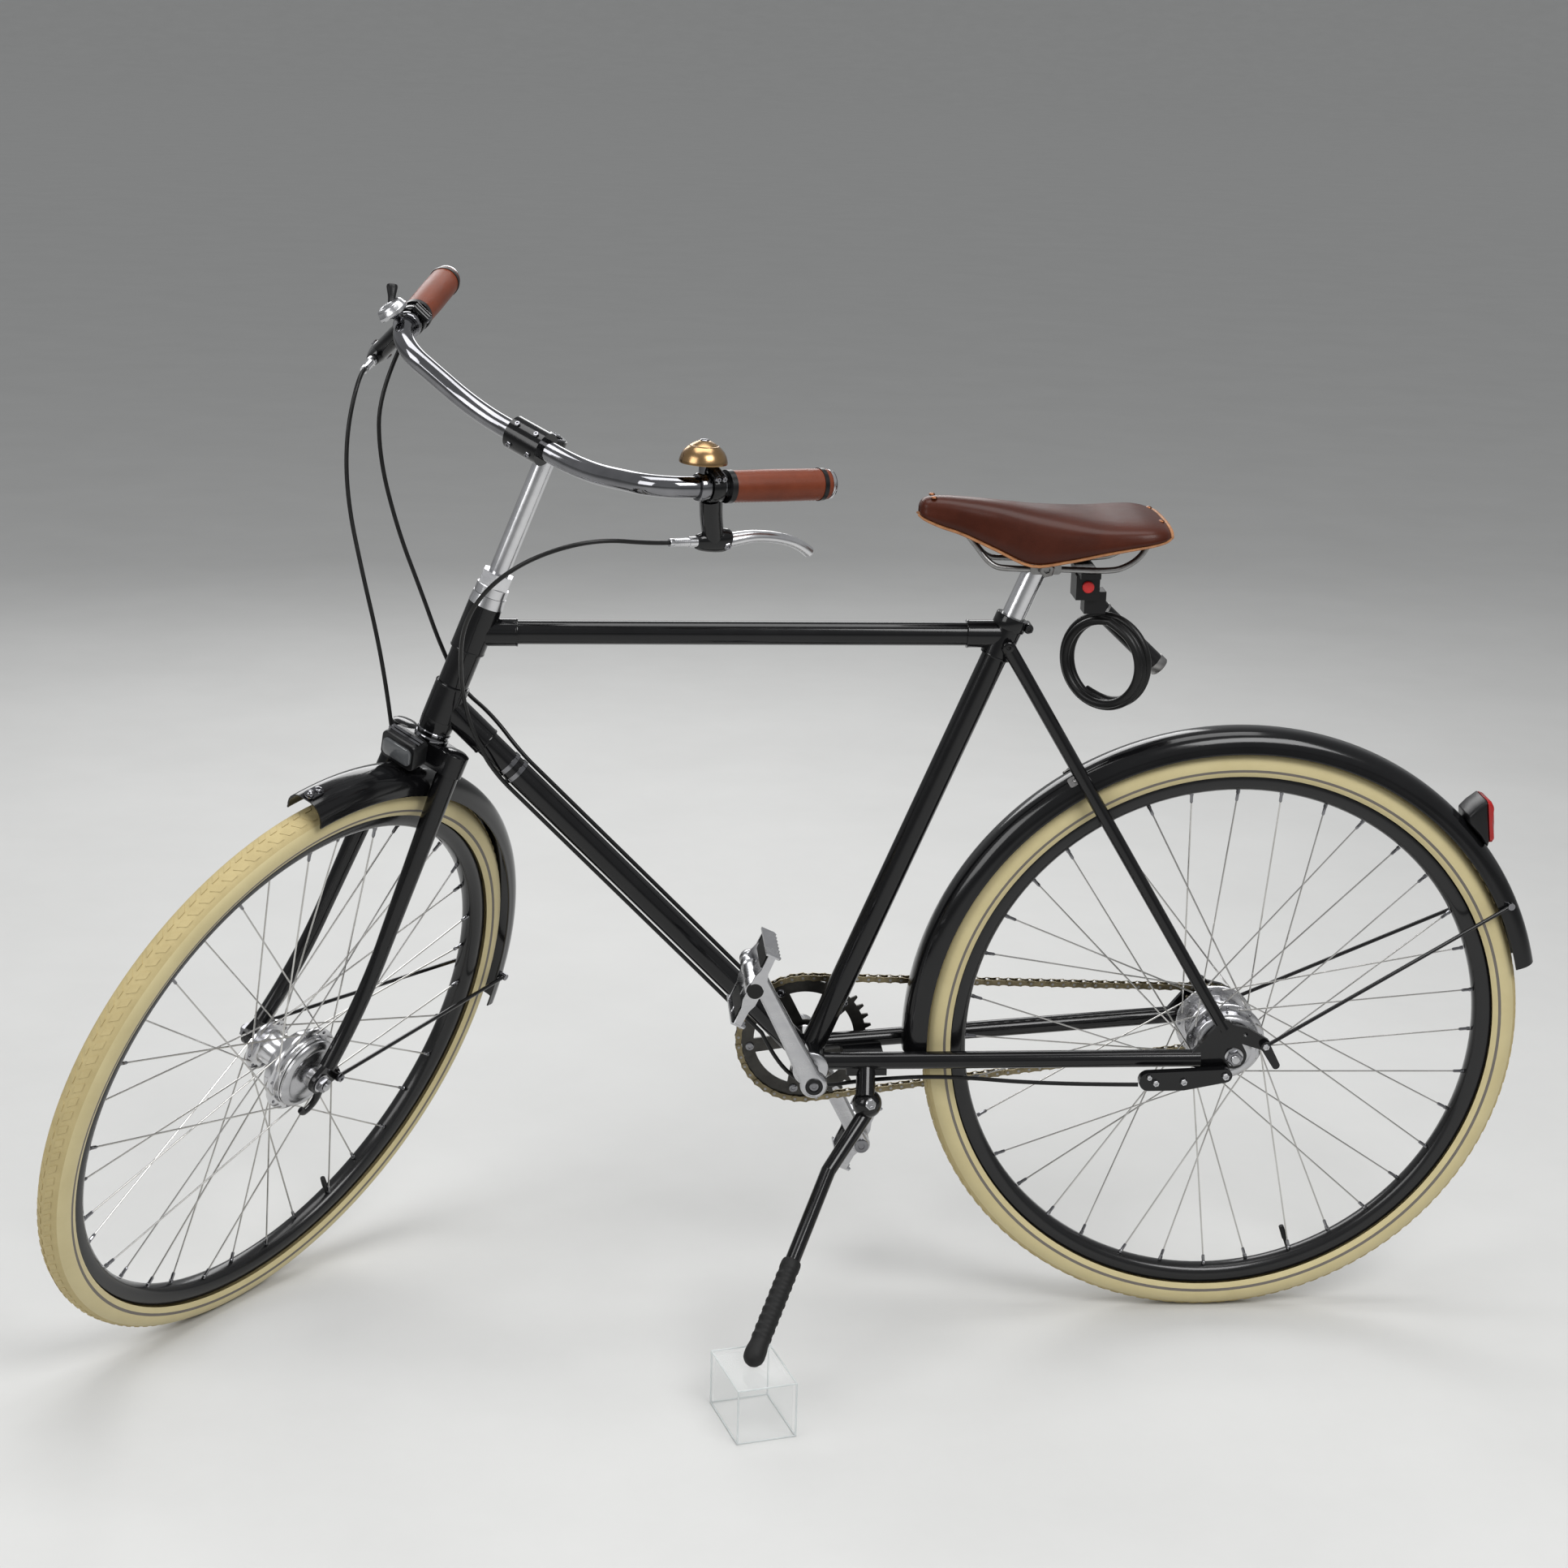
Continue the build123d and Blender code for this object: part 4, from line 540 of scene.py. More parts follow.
def tread_block(centre, start, hand):
    """The sunk foot and the top of a slanted tread block on one half of the tyre."""
    rings = []
    for radius in (TYRE_SECTION - 0.5, TYRE_SECTION + 0.55):
        ring = []
        for slope, along in TREAD_CORNERS:
            a = radians(hand * slope)
            ring.append(wheel_at(centre, TYRE_MID + radius * cos(a), start + along, radius * sin(a)))
        rings.append(ring)
    return rings


def tyre(name, centre, body, node):
    """A tyre with a grey line on each wall and two rows of tread blocks."""
    shape = Shape()
    count, segments = 26, 144
    profile = []
    for i in range(count + 1):
        a = radians(-128 + 256 * i / count)
        worn = 0.35 * cos(a) ** 8
        profile.append((TYRE_SECTION * sin(a), TYRE_MID + TYRE_SECTION * cos(a) - worn))
    rings = [[wheel_at(centre, r, 360 * s / segments, y) for y, r in profile] for s in range(segments)]
    shape.rings(rings, 0, closed=True, wrap=False)
    for face in range(len(shape.faces)):
        across = face % count
        if across in (2, count - 3):
            shape.slots[face] = 2
        elif 8 <= across <= count - 9:
            shape.slots[face] = 1
    for i in range(TREAD_BLOCKS):
        start = 360 * i / TREAD_BLOCKS
        shape.rings(tread_block(centre, start, 1), 1)
        shape.rings(tread_block(centre, start + TREAD_SHIFT, -1), 1)
    shape.make(name, body, [cream, tread_cream, stripe], (node,), "cream_tyre", smooth=50)


def rim(name, centre, body, node):
    """A rim with its valve."""
    shape = Shape()
    half = [(0, 299.3), (5.5, 299.9), (9.2, 302.2), (11.4, 306), (12.2, 310), (12.5, 317), (11.6, 318.4),
            (10.6, 317.2), (10.4, 313), (0, 310)]
    shape.turned(centre, SIDE, mirrored(half), 144)
    valve, inner = (wheel_at(centre, radius, VALVE_AT) for radius in (299.5, 268))
    shape.tube([valve, valve.lerp(inner, 0.45), valve.lerp(inner, 0.46), inner], [2.6, 2.6, 3.4, 3.0], 12, 1)
    shape.make(name, body, [rim_black, rubber], (node,), "black_rim")


def spokes(name, centre, body, node, flanges):
    """Crossed spokes with heads and nipples, from (middle, hole radius, half thickness) of each flange."""
    shape = Shape()
    for flange, (middle, hole, half) in enumerate(flanges):
        for k in range(18):
            angle = 20 * (k + flange / 2)
            lead = 1 if k % 2 else -1
            across = middle + lead * (half + 1.05) + (lead * 1.1 if lead * middle > 0 else 0)
            start = wheel_at(centre, hole, angle, across)
            end = wheel_at(centre, 298.9, angle + lead * 60, 3 if middle > 0 else -3)
            run = (end - start).normalized()
            wire = [start - run * 0.5, start + run * 10, end - run * 12, end - run * 2]
            shape.tube(wire, [1.15, 0.95, 0.95, 0.95], 8)
            nipple = [end - run * back for back in (13, 11.5, 4, 3.5, 0)]
            shape.tube(nipple, [1.2, 1.9, 1.9, 2.4, 2.4], 8, 1)
            head = wheel_at(centre, hole, angle, middle - lead * (half + 0.3))
            shape.ball(head, 2.0, 1, 0.55, SIDE, 10)
    shape.make(name, body, [spoke_steel, chrome], (node,), "bright_steel")


rear_flanges = ((-31.0, 42.0, 2.0), (24.0, 42.0, 2.0))
front_flanges = ((-29.25, 28.0, 1.75), (24.0, 48.0, 2.0))
for tag, centre, body, flanges in (("rear", REAR, "rear_wheel", rear_flanges),
                                   ("front", FRONT, "front_wheel", front_flanges)):
    tyre(tag + "_tyre_shape", centre, body, tag + "_tyre")
    rim(tag + "_rim_shape", centre, body, tag + "_rim")
    spokes(tag + "_spoke_set", centre, body, tag + "_spokes", flanges)

rear_hub = Shape()
rear_hub.turned(REAR, SIDE, [
    (-40, 5.4), (-40, 19), (-39, 20), (-34.5, 21.5), (-33, 23), (-33, 45), (-32.2, 46), (-29.8, 46),
    (-29, 45), (-29, 38), (-28.2, 35.4), (-26, 34), (-14, 33.6), (-13, 32.6), (8, 32.6), (9, 33.6), (20, 34),
    (21.4, 35.4), (22, 38), (22, 45), (22.8, 46), (25.2, 46), (26, 45), (26, 38.6), (27, 38), (34.4, 38),
    (35, 37.4), (35, 5.4)], 72)
rear_hub.make("rear_hub_shell", "rear_wheel", alloy, ("rear_hub",), "brushed_alloy")
front_hub = Shape()
front_hub.turned(FRONT, SIDE, [
    (-36, 5.4), (-36, 13), (-35, 14), (-31.6, 15.6), (-31, 17), (-31, 31), (-30.4, 32), (-28.1, 32),
    (-27.5, 31), (-27.5, 25), (-26.6, 21), (-24, 19), (-4, 18.4), (0, 19.2), (3, 24), (5.5, 34), (8, 41),
    (11, 43.6), (21.2, 45), (22, 46), (22, 51), (22.8, 52), (25.2, 52), (26, 51), (26, 43.8), (27, 43),
    (32.4, 43), (33, 42.4), (33, 5.4)], 72)
front_hub.make("front_hub_shell", "front_wheel", bright, ("front_hub",), "brushed_alloy")


def axle_set(name, centre, body, node, inner, outer, cover):
    """Fixed axle, nuts with washers and the still cover of the drum."""
    shape = Shape()
    thread_rings = []
    for i in range(9):
        thread_rings += [(i * 1.2, 4.9), (i * 1.2 + 0.6, 4.4)]
    tip = [(0, 0.01), *thread_rings, (10.4, 3.8), (10.4, 0.01)]
    for hand in HANDS:
        out = SIDE * hand
        shape.turned(centre + out * (outer + 0.6), out, tip, 20, 0, closed=False)
        foot = centre + out * (outer + 0.2)
        shape.turned(foot, out, [(0, 5), (0, 10.6), (1.4, 10.8), (1.8, 10), (1.8, 5)], 28, 0)
        shape.turned(foot + out * 1.8, out, [(0, 5), (0, 9.3), (5.4, 9.3), (6.2, 8), (6.2, 5)], 6, 1)
    shape.tube([centre - SIDE * (outer - 1), centre + SIDE * (outer - 1)], 5, 24)
    drum = [(cover[0][0], 5), *cover, (inner - 0.2, cover[-1][1] - 2), (inner - 0.2, 5)]
    shape.turned(centre, SIDE, drum, 72)
    shape.make(name, body, [alloy, chrome], (node,), "brushed_alloy", smooth=30)


axle_set("rear_axle_set", REAR, "frame", "rear_axle", 63, 69,
         [(36, 38), (38, 38), (41, 36.6), (43, 33.6), (43.4, 30), (42.6, 28), (43.6, 25), (44.6, 18),
          (45, 16)])
axle_set("front_axle_set", FRONT, "steering", "front_axle", 50, 56,
         [(34, 42), (36.5, 41.6), (39, 38.8), (40, 35), (39.4, 32), (38.8, 30), (39.6, 26), (40.8, 14),
          (41, 12)])

# Chain of separate links
RING_TEETH, COG_TEETH, LINKS, HALF_LINK, CHAIN_LINE = 38, 18, 104, 6.35, -50
ring_r, cog_r = HALF_LINK / sin(pi / RING_TEETH), HALF_LINK / sin(pi / COG_TEETH)
line = CRANK - REAR
tilt = atan2(line.z, line.x)
leave = pi - acos((ring_r - cog_r) / line.length)
straight = sqrt(line.length ** 2 - (ring_r - cog_r) ** 2)
spans = [straight, 2 * leave * ring_r, straight, (2 * pi - 2 * leave) * cog_r]
total = sum(spans)


def pitch_point(centre, radius, angle):
    """A point of a toothed wheel's pitch circle, in the chain's plane."""
    return at(centre, radius * cos(angle), CHAIN_LINE, radius * sin(angle))


def chain_at(distance):
    """A point of the chain's line, counted from where the upper run leaves the sprocket."""
    distance %= total
    if distance < spans[0]:
        a, b = pitch_point(REAR, cog_r, tilt + leave), pitch_point(CRANK, ring_r, tilt + leave)
        return a.lerp(b, distance / spans[0])
    distance -= spans[0]
    if distance < spans[1]:
        return pitch_point(CRANK, ring_r, tilt + leave - distance / ring_r)
    distance -= spans[1]
    if distance < spans[2]:
        a, b = pitch_point(CRANK, ring_r, tilt - leave), pitch_point(REAR, cog_r, tilt - leave)
        return a.lerp(b, distance / spans[2])
    distance -= spans[2]
    return pitch_point(REAR, cog_r, tilt - leave - distance / cog_r)


def on_teeth(along):
    """Moves the rollers on the chainring between its teeth, taken up along the two straight runs."""
    before, after = along / spans[0], (total - spans[3] - along) / spans[2]
    return along + 1.34 * max(0.0, min(1.0, before, after))


# The rollers lie between the sprocket's teeth, which stand 20 degrees apart
wrap_start = tilt - leave
half_pitch = pi / COG_TEETH
wrap_middle = wrap_start - spans[3] / 2 / cog_r
gap_at = half_pitch + 2 * half_pitch * round((wrap_middle - half_pitch) / (2 * half_pitch))
shift = total - spans[3] + (wrap_start - gap_at) * cog_r
chain = Shape()
for i in range(LINKS):
    along = (shift + total * i / LINKS) % total
    a, b = chain_at(on_teeth(along)), chain_at(on_teeth((along + total / LINKS) % total))
    ahead = (b - a).normalized()
    half = (b - a).length / 2
    outline = []
    for end, start in ((1, -75), (-1, 105)):
        for k in range(7):
            angle = radians(start + 150 * k / 6)
            outline.append((end * half + 4.0 * cos(angle), 4.0 * sin(angle)))
        outline.append((0, 2.9 * end))
    gap = 2.9 if i % 2 else 4.0
    for hand in HANDS:
        chain.plate(outline, 0.9, (a + b) / 2 + SIDE * (hand * gap), ahead, SIDE.cross(ahead), 0)
    free = 34 < along < spans[0] - 42 or 42 < along - spans[0] - spans[1] < spans[2] - 34
    chain.tube([a - SIDE * 2.4, a + SIDE * 2.4], 3.8 if free else 1.9, 10, 1)
    chain.tube([a - SIDE * 4.9, a + SIDE * 4.9], 1.7, 8, 1)
chain.make("chain_links", "frame", [chain_steel, steel], ("chain",), "chain_steel", smooth=35)

# Mudguards with rolled edges, stay clips and fittings
outer = [(0, 373), (7, 372.8), (13, 371.2), (17.5, 368.2), (21, 364.2), (23.4, 359.4), (24.5, 354),
         (24.7, 349.6)]
half_profile = outer + [(25.1, 348.4), (24.8, 347.2), (23.6, 347), (23.0, 348.2), (23.1, 350)]
half_profile += [(y - 1.6 * (y / 24), r - 1.6 * (1 - y / 30)) for y, r in reversed(outer[1:-1])]
guard_profile = mirrored(half_profile + [(0, 371.4)])


def guard_shell(centre, start, stop, clips_at):
    """A mudguard between two angles, with the clips that hold its stays."""
    shape = Shape()
    shape.arc(centre, guard_profile, start, stop, 90)
    for hand in HANDS:
        clip = wheel_at(centre, 361, clips_at, hand * 26.6)
        shape.tube([clip - SIDE * (hand * 4), clip + SIDE * (hand * 3)], 4.2, 12, 1)
    return shape


rear_guard = guard_shell(REAR, -2, 166, 153)
bridge_at = 59
bridge_run = wheel_at(Vector(), 1, bridge_at + 90)
for hand in HANDS:
    bridge = wheel_at(REAR, 368, bridge_at, hand * 17.5)
    lean = wheel_at(Vector(), 0.72, bridge_at, 0.69 * hand).normalized()
    rear_guard.plate(rounded(12, 17, 3), 1.6, bridge + lean * 0.8, lean.cross(bridge_run), bridge_run, 2)
    rear_guard.bolt(bridge + lean * 1.6, lean, 3.4, 2.4, 2)
rear_guard.make("rear_guard_shell", "frame", [paint, chrome, steel], ("rear_mudguard",), "frame_paint",
                smooth=50)
front_guard = guard_shell(FRONT, 88, 196.5, 190)
tip = wheel_at(FRONT, 374, 89.6)
front_guard.plate(rounded(14, 22, 5), 2.0, at(tip, -2, 0, 0.6), SIDE, wheel_at(Vector(), 1, -0.4), 1)
front_guard.ball(at(tip, 4, 0, 3), 4.6, 1, 0.8)
front_guard.bolt(at(tip, -8, 0, 1), wheel_at(Vector(), 1, 91), 4.5, 3, 1)
front_guard.make("front_guard_shell", "steering", [paint, chrome], ("front_mudguard",), "frame_paint",
                 smooth=50)

# Saddle: a stretched hide over a steel frame, with rivets and a cut edge
sections = (
    # ahead, half width, crown, flank, edge
    (131, 8, 71, 66, 61), (125, 15, 79, 68, 57), (108, 19.5, 81, 66, 50), (85, 25, 80, 61, 43),
    (48, 33, 76.5, 52, 27), (12, 46, 72, 43, 13), (-24, 59, 69, 42, 20), (-60, 72, 66, 46, 31),
    (-90, 77, 65.5, 50, 38), (-112, 77, 65, 52, 42), (-128, 70, 62, 52, 45), (-136, 58, 57, 51, 47))


def hide_ring(section):
    """One row across the saddle from flap edge to flap edge."""
    ahead, half, crown, flank, edge = section
    row = [(-(half - 2.5), edge), (-half - 0.6, (edge * 2 + flank) / 3), (-half, (edge + 2 * flank) / 3),
           (-half + 1.2, flank)]
    flap = [(-y, z) for y, z in reversed(row)]
    for i in range(1, 14):
        a = pi * i / 14
        row.append((-(half - 1.2) * cos(a), flank + (crown - flank) * sin(a) ** 0.8))
    return [at(POST_TOP, ahead, y, z) for y, z in row + flap]


columns = list(zip(*[hide_ring(s) for s in sections]))
rows = list(zip(*[spline(column, 4) for column in columns]))
hide = Shape()
hide.rings(rows, 0, caps=False, wrap=False)
hide.make("saddle_hide", "frame", leather, ("saddle_leather",), "saddle_brown", smooth=60,
          solidify=0.0046, subsurf=1)
trim = Shape()
for column in (0, -1):
    trim.tube([r[column] for r in rows], 2.2, 8, 0, flat=0.7)
trim.tube(rows[-1], 2.3, 8, 0)
trim.make("saddle_cut_edge", "frame", leather_edge, (), "saddle_brown")
studs = Shape()
for ahead, across, above in ((-124, 58, 55.9), (-129, 34, 60.4), (116, 9, 80.4)):
    for hand in HANDS:
        studs.ball(at(POST_TOP, ahead, across * hand, above), 3.6, 0, 0.5)
studs.make("saddle_rivets", "frame", copper, (), "bright_steel")
under = Shape()
rail = ((84, 7, 47), (70, 12, 30), (52, 21, 10), (30, 25, 6), (-20, 27, 5.5), (-70, 31, 5), (-92, 31, 9),
        (-110, 30, 22), (-122, 27, 44))
back_plate = ((-122, -60, 46), (-128, -30, 49), (-129, 0, 50), (-128, 30, 49), (-122, 60, 46))
nose_bolt = at(POST_TOP, 106, 0, 58)
clamp_mid = at(POST_TOP, -6, 0, 7)
for hand in HANDS:
    under.tube(spline([at(POST_TOP, x, hand * y, z) for x, y, z in rail]), 3.5, 10, 0)
    under.turned(at(POST_TOP, -128, hand * 24, 41), SIDE, mirrored([(2, 9), (2, 5)]), 24)
    under.bolt(clamp_mid + SIDE * (hand * 31), SIDE * hand, 9, 7, 0)
under.plate(rounded(34, 13, 4), 62, clamp_mid, AHEAD, UP, 0)
under.tube(spline([at(POST_TOP, *spot) for spot in back_plate]), 4.0, 10, 0, flat=1.4)
under.tube([at(POST_TOP, 80, 0, 54), nose_bolt], 5, 16, 0)
under.bolt(nose_bolt, Vector((1, 0, 0.1)), 7, 5, 0)
under.make("saddle_frame", "frame", steel, ("saddle_rails",), "dull_steel")

# Seat collar, lug edges and bolts on the frame
collar = Shape()
collar_mid = SEAT_TOP - SEAT_UP * 7
collar.turned(collar_mid, SEAT_UP, mirrored([(5.5, 18.8), (7, 18.2), (7, 16.8)]), 40)
ears = [at(collar_mid, -19, across, -6) for across in (-9, 9)]
collar.tube(ears, 5.5, 16)
collar.bolt(ears[1], SIDE, 5, 4, 0)
for hand in HANDS:
    collar.bolt(at(SEAT_TOP - SEAT_UP * 31, -4, 25 * hand, 0), SIDE * hand, 6, 3, 0, 16)
collar.make("seat_collar", "frame", paint, (), "frame_paint")
edges = Shape()
for start, run, radius in (
        (TOP_JOINT - TOP_RUN * 46, TOP_RUN, 15.4), (DOWN_JOINT - DOWN_RUN * 62, DOWN_RUN, 16.7),
        (SEAT_JOINT + TOP_RUN * 42, TOP_RUN, 15.4), (CRANK + SEAT_UP * 517.4, SEAT_UP, 16.6),
        (steer_at(515.4), STEER_UP, 19.2), (steer_at(471.4), STEER_UP, 19.2)):
    edges.turned(start, run, mirrored([(0, radius + 0.5), (1.2, radius + 0.1), (1.2, radius - 2)]), 40)
edges.make("lug_edges", "frame", paint, (), "frame_paint")
bolts = Shape()
for ahead, above, radius in ((12, -17, 4.6), (60, -23, 4.4), (92, -24, 4.2), (100, -17, 3.4)):
    bolts.bolt(at(REAR, ahead, 85, above), SIDE, radius, 3.5)
for hand in HANDS:
    bolts.bolt(at(REAR, -35, 74.2 * hand, 14), SIDE * hand, 4.2, 3)
bolts.bolt(at(STAND_PIVOT, -2, 16.2, 6), Vector((-0.1, 1, 0.35)), 6.5, 3.5)
bolts.bolt(at(CRANK, -64, 38.3, -6), SIDE, 4.5, 3.5)
bolts.make("frame_bolts", "frame", alloy, (), "bright_steel")
shell = Shape()
for hand in HANDS:
    shell.turned(CRANK + SIDE * (36 * hand), SIDE * hand, [(0, 9), (0, 20.4), (5, 20.4), (6, 19), (6, 9)], 40)
shell.make("shell_cups", "frame", alloy, (), "brushed_alloy")


# Crank arms with a waist and rounded flanks, their bolts, the chainring's bolts and the pedals
def arm_outline(inset):
    """Boss at the spindle, slim shank and pedal eye, as (ahead, above) points."""
    points = [(11 * cos(radians(a)) + ARM, 11 * sin(radians(a))) for a in range(-80, 81, 16)]
    points += [(148, 9.2), (110, 9.6), (60, 10.6), (26, 12.0)]
    points += [(15.5 * cos(radians(a)), 15.5 * sin(radians(a))) for a in range(52, 309, 16)]
    points += [(26, -12.0), (60, -10.6), (110, -9.6), (148, -9.2)]
    return [(x - inset * ((x > ARM - 10) - (x < 10)), y - inset * y / 10) for x, y in points]


crank = Shape()
arm_layers = ((75, 2.6), (76.4, 0.9), (78.5, 0), (84.5, 0), (86.6, 0.9), (88, 2.6))
cap_ring = [(0, 10), (1.4, 10), (2, 9.4), (2, 5.8), (0.6, 5.4), (0.6, 10)]
for hand in HANDS:
    crank.rings([[at(CRANK, x * hand, across * hand, z) for x, z in arm_outline(inset)]
                 for across, inset in arm_layers], 2)
    cap = CRANK + SIDE * (88 * hand)
    crank.turned(cap, SIDE * hand, cap_ring, 28, 1)
    crank.bolt(cap, SIDE * hand, 5.2, 1.4, 0, 24)
    crank.bolt(at(CRANK, ARM * hand, 75 * hand, 0), SIDE * -hand, 8.5, 2, 0, 24)
crank.tube([CRANK - SIDE * 76, CRANK + SIDE * 76], 8, 24, 2)
crank.tube([CRANK - SIDE * 49.5, CRANK - SIDE * 75.5], [22, 18], 32, 2)
for k in range(5):
    spot = wheel_at(CRANK, 64, 72 * k, -51.4)
    crank.bolt(spot, -SIDE, 5, 2.5, 0, 20)
    crank.bolt(spot + SIDE * 2.8, SIDE, 5, 2.0, 0, 20)
crank.make("crank_arm_pair", "crank", [chrome, plastic, alloy], ("crank_arms",), "brushed_alloy", smooth=35)

cage_teeth = [(-40 + 5 * i, 10 if i % 2 else 7.6) for i in range(17)] + [(40, -7.6), (-40, -7.6)]
end_plate = mirrored([(15, 7.4), (24, 4.2), (43, 3.6), (43, -4.4), (24, -4.6), (15, -7.4)])
pedal_barrel = ((0, 8.5), (6, 8.5), (7, 11), (20, 11), (22, 9), (66, 9), (68, 11), (86, 10.5))


def pedal(name, hand, node):
    """A cage pedal with toothed plates, rubber blocks and a turned barrel."""
    shape = Shape()
    inner = at(CRANK, ARM * hand, 88.3 * hand, 0)
    middle = inner + SIDE * (hand * 48)
    for along in (-38.5, 38.5):
        shape.plate(end_plate, 2.4, middle + SIDE * along, AHEAD, UP, 0)
    barrel = [inner + SIDE * (along * hand) for along, radius in pedal_barrel]
    shape.tube(barrel, [radius for along, radius in pedal_barrel], 24, 0)
    shape.turned(barrel[-1], SIDE * hand, [(0, 9.5), (2, 8.6), (2.4, 0.01)], 24, 1, closed=False)
    for end in HANDS:
        shape.plate(cage_teeth, 2.2, middle + AHEAD * (43.5 * end), SIDE, UP, 0)
        shape.plate(rounded(44, 8, 3), 4, middle + AHEAD * (22 * end), AHEAD, UP, 0)
        shape.plate(rounded(15, 60, 3), 9, middle + AHEAD * (31 * end), AHEAD, SIDE, 1)
    shape.make(name, node, [alloy, rubber], (node,), "brushed_alloy")


pedal("pedal_left_cage", 1, "pedal_left")
pedal("pedal_right_cage", -1, "pedal_right")


# Grips, bar caps, lever clamps and blades, bell, shifter and stem bolts
def clamp_ring(half, outer):
    """The section of a ring on the bar, with eased edges."""
    return mirrored([(half - 1, outer), (half, outer - 0.8), (half, 11.4)])


def with_left(hand, node):
    """The left piece of a pair stands for the node of both."""
    return (node,) if hand > 0 else ()


def bar_grip(hand, tag):
    """A leather grip with an end cap, two bands and a row of stitches."""
    run, end = BAR_RUN[hand], BAR_END[hand]
    grip = Shape()
    sleeve = [(0.2, 11.2), (0.2, 15.2), (2.5, 16.2), (10, 16.6), (60, 16.9), (112, 16.4), (119.5, 16.0),
              (122, 15.0), (122, 11.2)]
    grip.turned(end, run, sleeve, 40, 0)
    cap = [(-5, 0.01), (-5, 13.6), (-3.4, 15.2), (-0.4, 15.8), (0.1, 15.8), (0.1, 11)]
    grip.turned(end, run, cap, 40, 2, closed=False)
    grip.turned(end + run * 6, run, [(0, 16), (0, 17.3), (5, 17.4), (5, 16)], 40, 3)
    grip.turned(end + run * 116, run, [(0, 16), (0, 17.4), (6.2, 17.2), (6.2, 11.3)], 40, 3, closed=False)
    seam = (BAR_OUT[hand] * 0.3 - UP).normalized()
    seam = (seam - run * seam.dot(run)).normalized()
    slant = run.cross(seam) * 1.6 + run * 1.2
    for k in range(26):
        mid = end + run * (14 + 3.9 * k) + seam * 16.7
        grip.tube([mid - slant, mid + seam * 0.3, mid + slant], 0.55, 6, 1)
    grip.make(tag + "_grip", "steering", [grip_leather, thread, bright, plastic], with_left(hand, "grips"),
              "grip_brown")


def lever_bracket(hand, tag):
    """The ring on the bar, the arm down from it and the block that carries the blade."""
    run, ring, block, down = BAR_RUN[hand], LEVER_RING[hand], LEVER_MID[hand], LEVER_DOWN[hand]
    across = run.cross(down).normalized()
    lever = Shape()
    lever.turned(ring, run, clamp_ring(7, 16.2), 40, 0)
    for along in (-3.5, 3.5):
        ear = ring + run * along - down * 16
        lever.tube([ear - across * 9, ear + across * 11], 4.2, 12, 0)
        lever.bolt(ear + across * 11, across, 3.2, 3, 1)
    arm = spline([ring + down * 14, ring - run * 4 + down * 34, ring - run * 9 + down * 52, block], 5)
    taper = [12.5 - 1.0 * i / (len(arm) - 1) for i in range(len(arm))]
    lever.tube(arm, taper, 16, 0, flat=0.85, flat_axis=across)
    body = spline([block - run * 18, block - run * 10 - down * 1, block + run * 8, block + run * 20], 4)
    lever.tube(body, [10, 11.4, 12.6, 13.2, 13.6, 13.6, 13.2, 12.4, 11.6, 10.8, 10, 9, 8.0], 18, 0,
               flat=0.8, flat_axis=across)
    for side in (across, -across):
        lever.bolt(block - run * 12 + side * 9.2, side, 4.5, 3, 1)
    lever.make(tag + "_lever_bracket", "steering", [paint, chrome], with_left(hand, "lever_brackets"),
               "frame_paint")


def lever_blade(hand, tag):
    """The curved blade with its round end, and the threaded cable adjuster."""
    run, block, down = BAR_RUN[hand], LEVER_MID[hand], LEVER_DOWN[hand]
    root = block - run * 19
    bends = ((-4, 0), (10, 2.5), (28, 4.5), (50, 3), (72, -2), (88, -9), (100, -17))
    path = spline([root - run * back - down * rise for back, rise in bends], 5)
    count = len(path)
    blade = Shape()
    radii = [9.4 - 1.4 * sin(pi * i / count) - 1.6 * i / count for i in range(count)]
    blade.tube(path, radii, 14, 0, flat=0.8, flat_axis=down)
    blade.ball(path[-1], 6.2, 0, 0.8, run.cross(down).normalized())
    screw = [(0, 0.01), (0, 5.6), (9, 5.6), (9.5, 4.2)]
    for k in range(8):
        screw += [(10 + 2.2 * k, 4.4), (11.1 + 2.2 * k, 3.9)]
    screw += [(27.5, 4.6), (32, 4.2), (32, 0.01)]
    blade.turned(block + run * 20.2, run, screw, 20, 0, closed=False)
    blade.make(tag + "_lever_blade", "steering", bright, with_left(hand, "lever_blades"), "brushed_alloy")


for hand, tag in ((1, "left"), (-1, "right")):
    bar_grip(hand, tag)
    lever_bracket(hand, tag)
    lever_blade(hand, tag)

# The bell stands upright while the bars are turned
bell = Shape()
run = BAR_RUN[1]
rise = STEERED.to_3x3().inverted() @ UP
rise = (rise - run * rise.dot(run)).normalized()
beside = run.cross(rise)
bell.turned(BELL_FOOT, run, clamp_ring(6, 14.6), 36, 1)
bell.tube([BELL_FOOT + rise * 12, BELL_FOOT + rise * 28], 4.2, 16, 1)
dome = [(25, 24), (25, 24.8), (26.5, 25), (29, 24.5), (33, 23.2), (37, 21), (41, 17.2), (45, 11.6),
        (47.4, 6.6), (48, 5.2), (48, 4), (45, 4), (43, 15), (37, 19.4), (30, 22.8)]
bell.turned(BELL_FOOT, rise, dome, 48, 0)
bell.turned(BELL_FOOT, rise, [(46, 5), (48.4, 5), (49.4, 4), (49.8, 0.01)], 24, 1, closed=False)
thumb = ((26, 8, 0), (23, 22, 6), (24, 29, 13))
thumb_line = [BELL_FOOT + rise * high + beside * wide - run * back for high, wide, back in thumb]
bell.tube(spline(thumb_line), 2.4, 10, 1)
bell.make("bell_dome", "steering", [brass, chrome], ("bell",), "bell_brass")

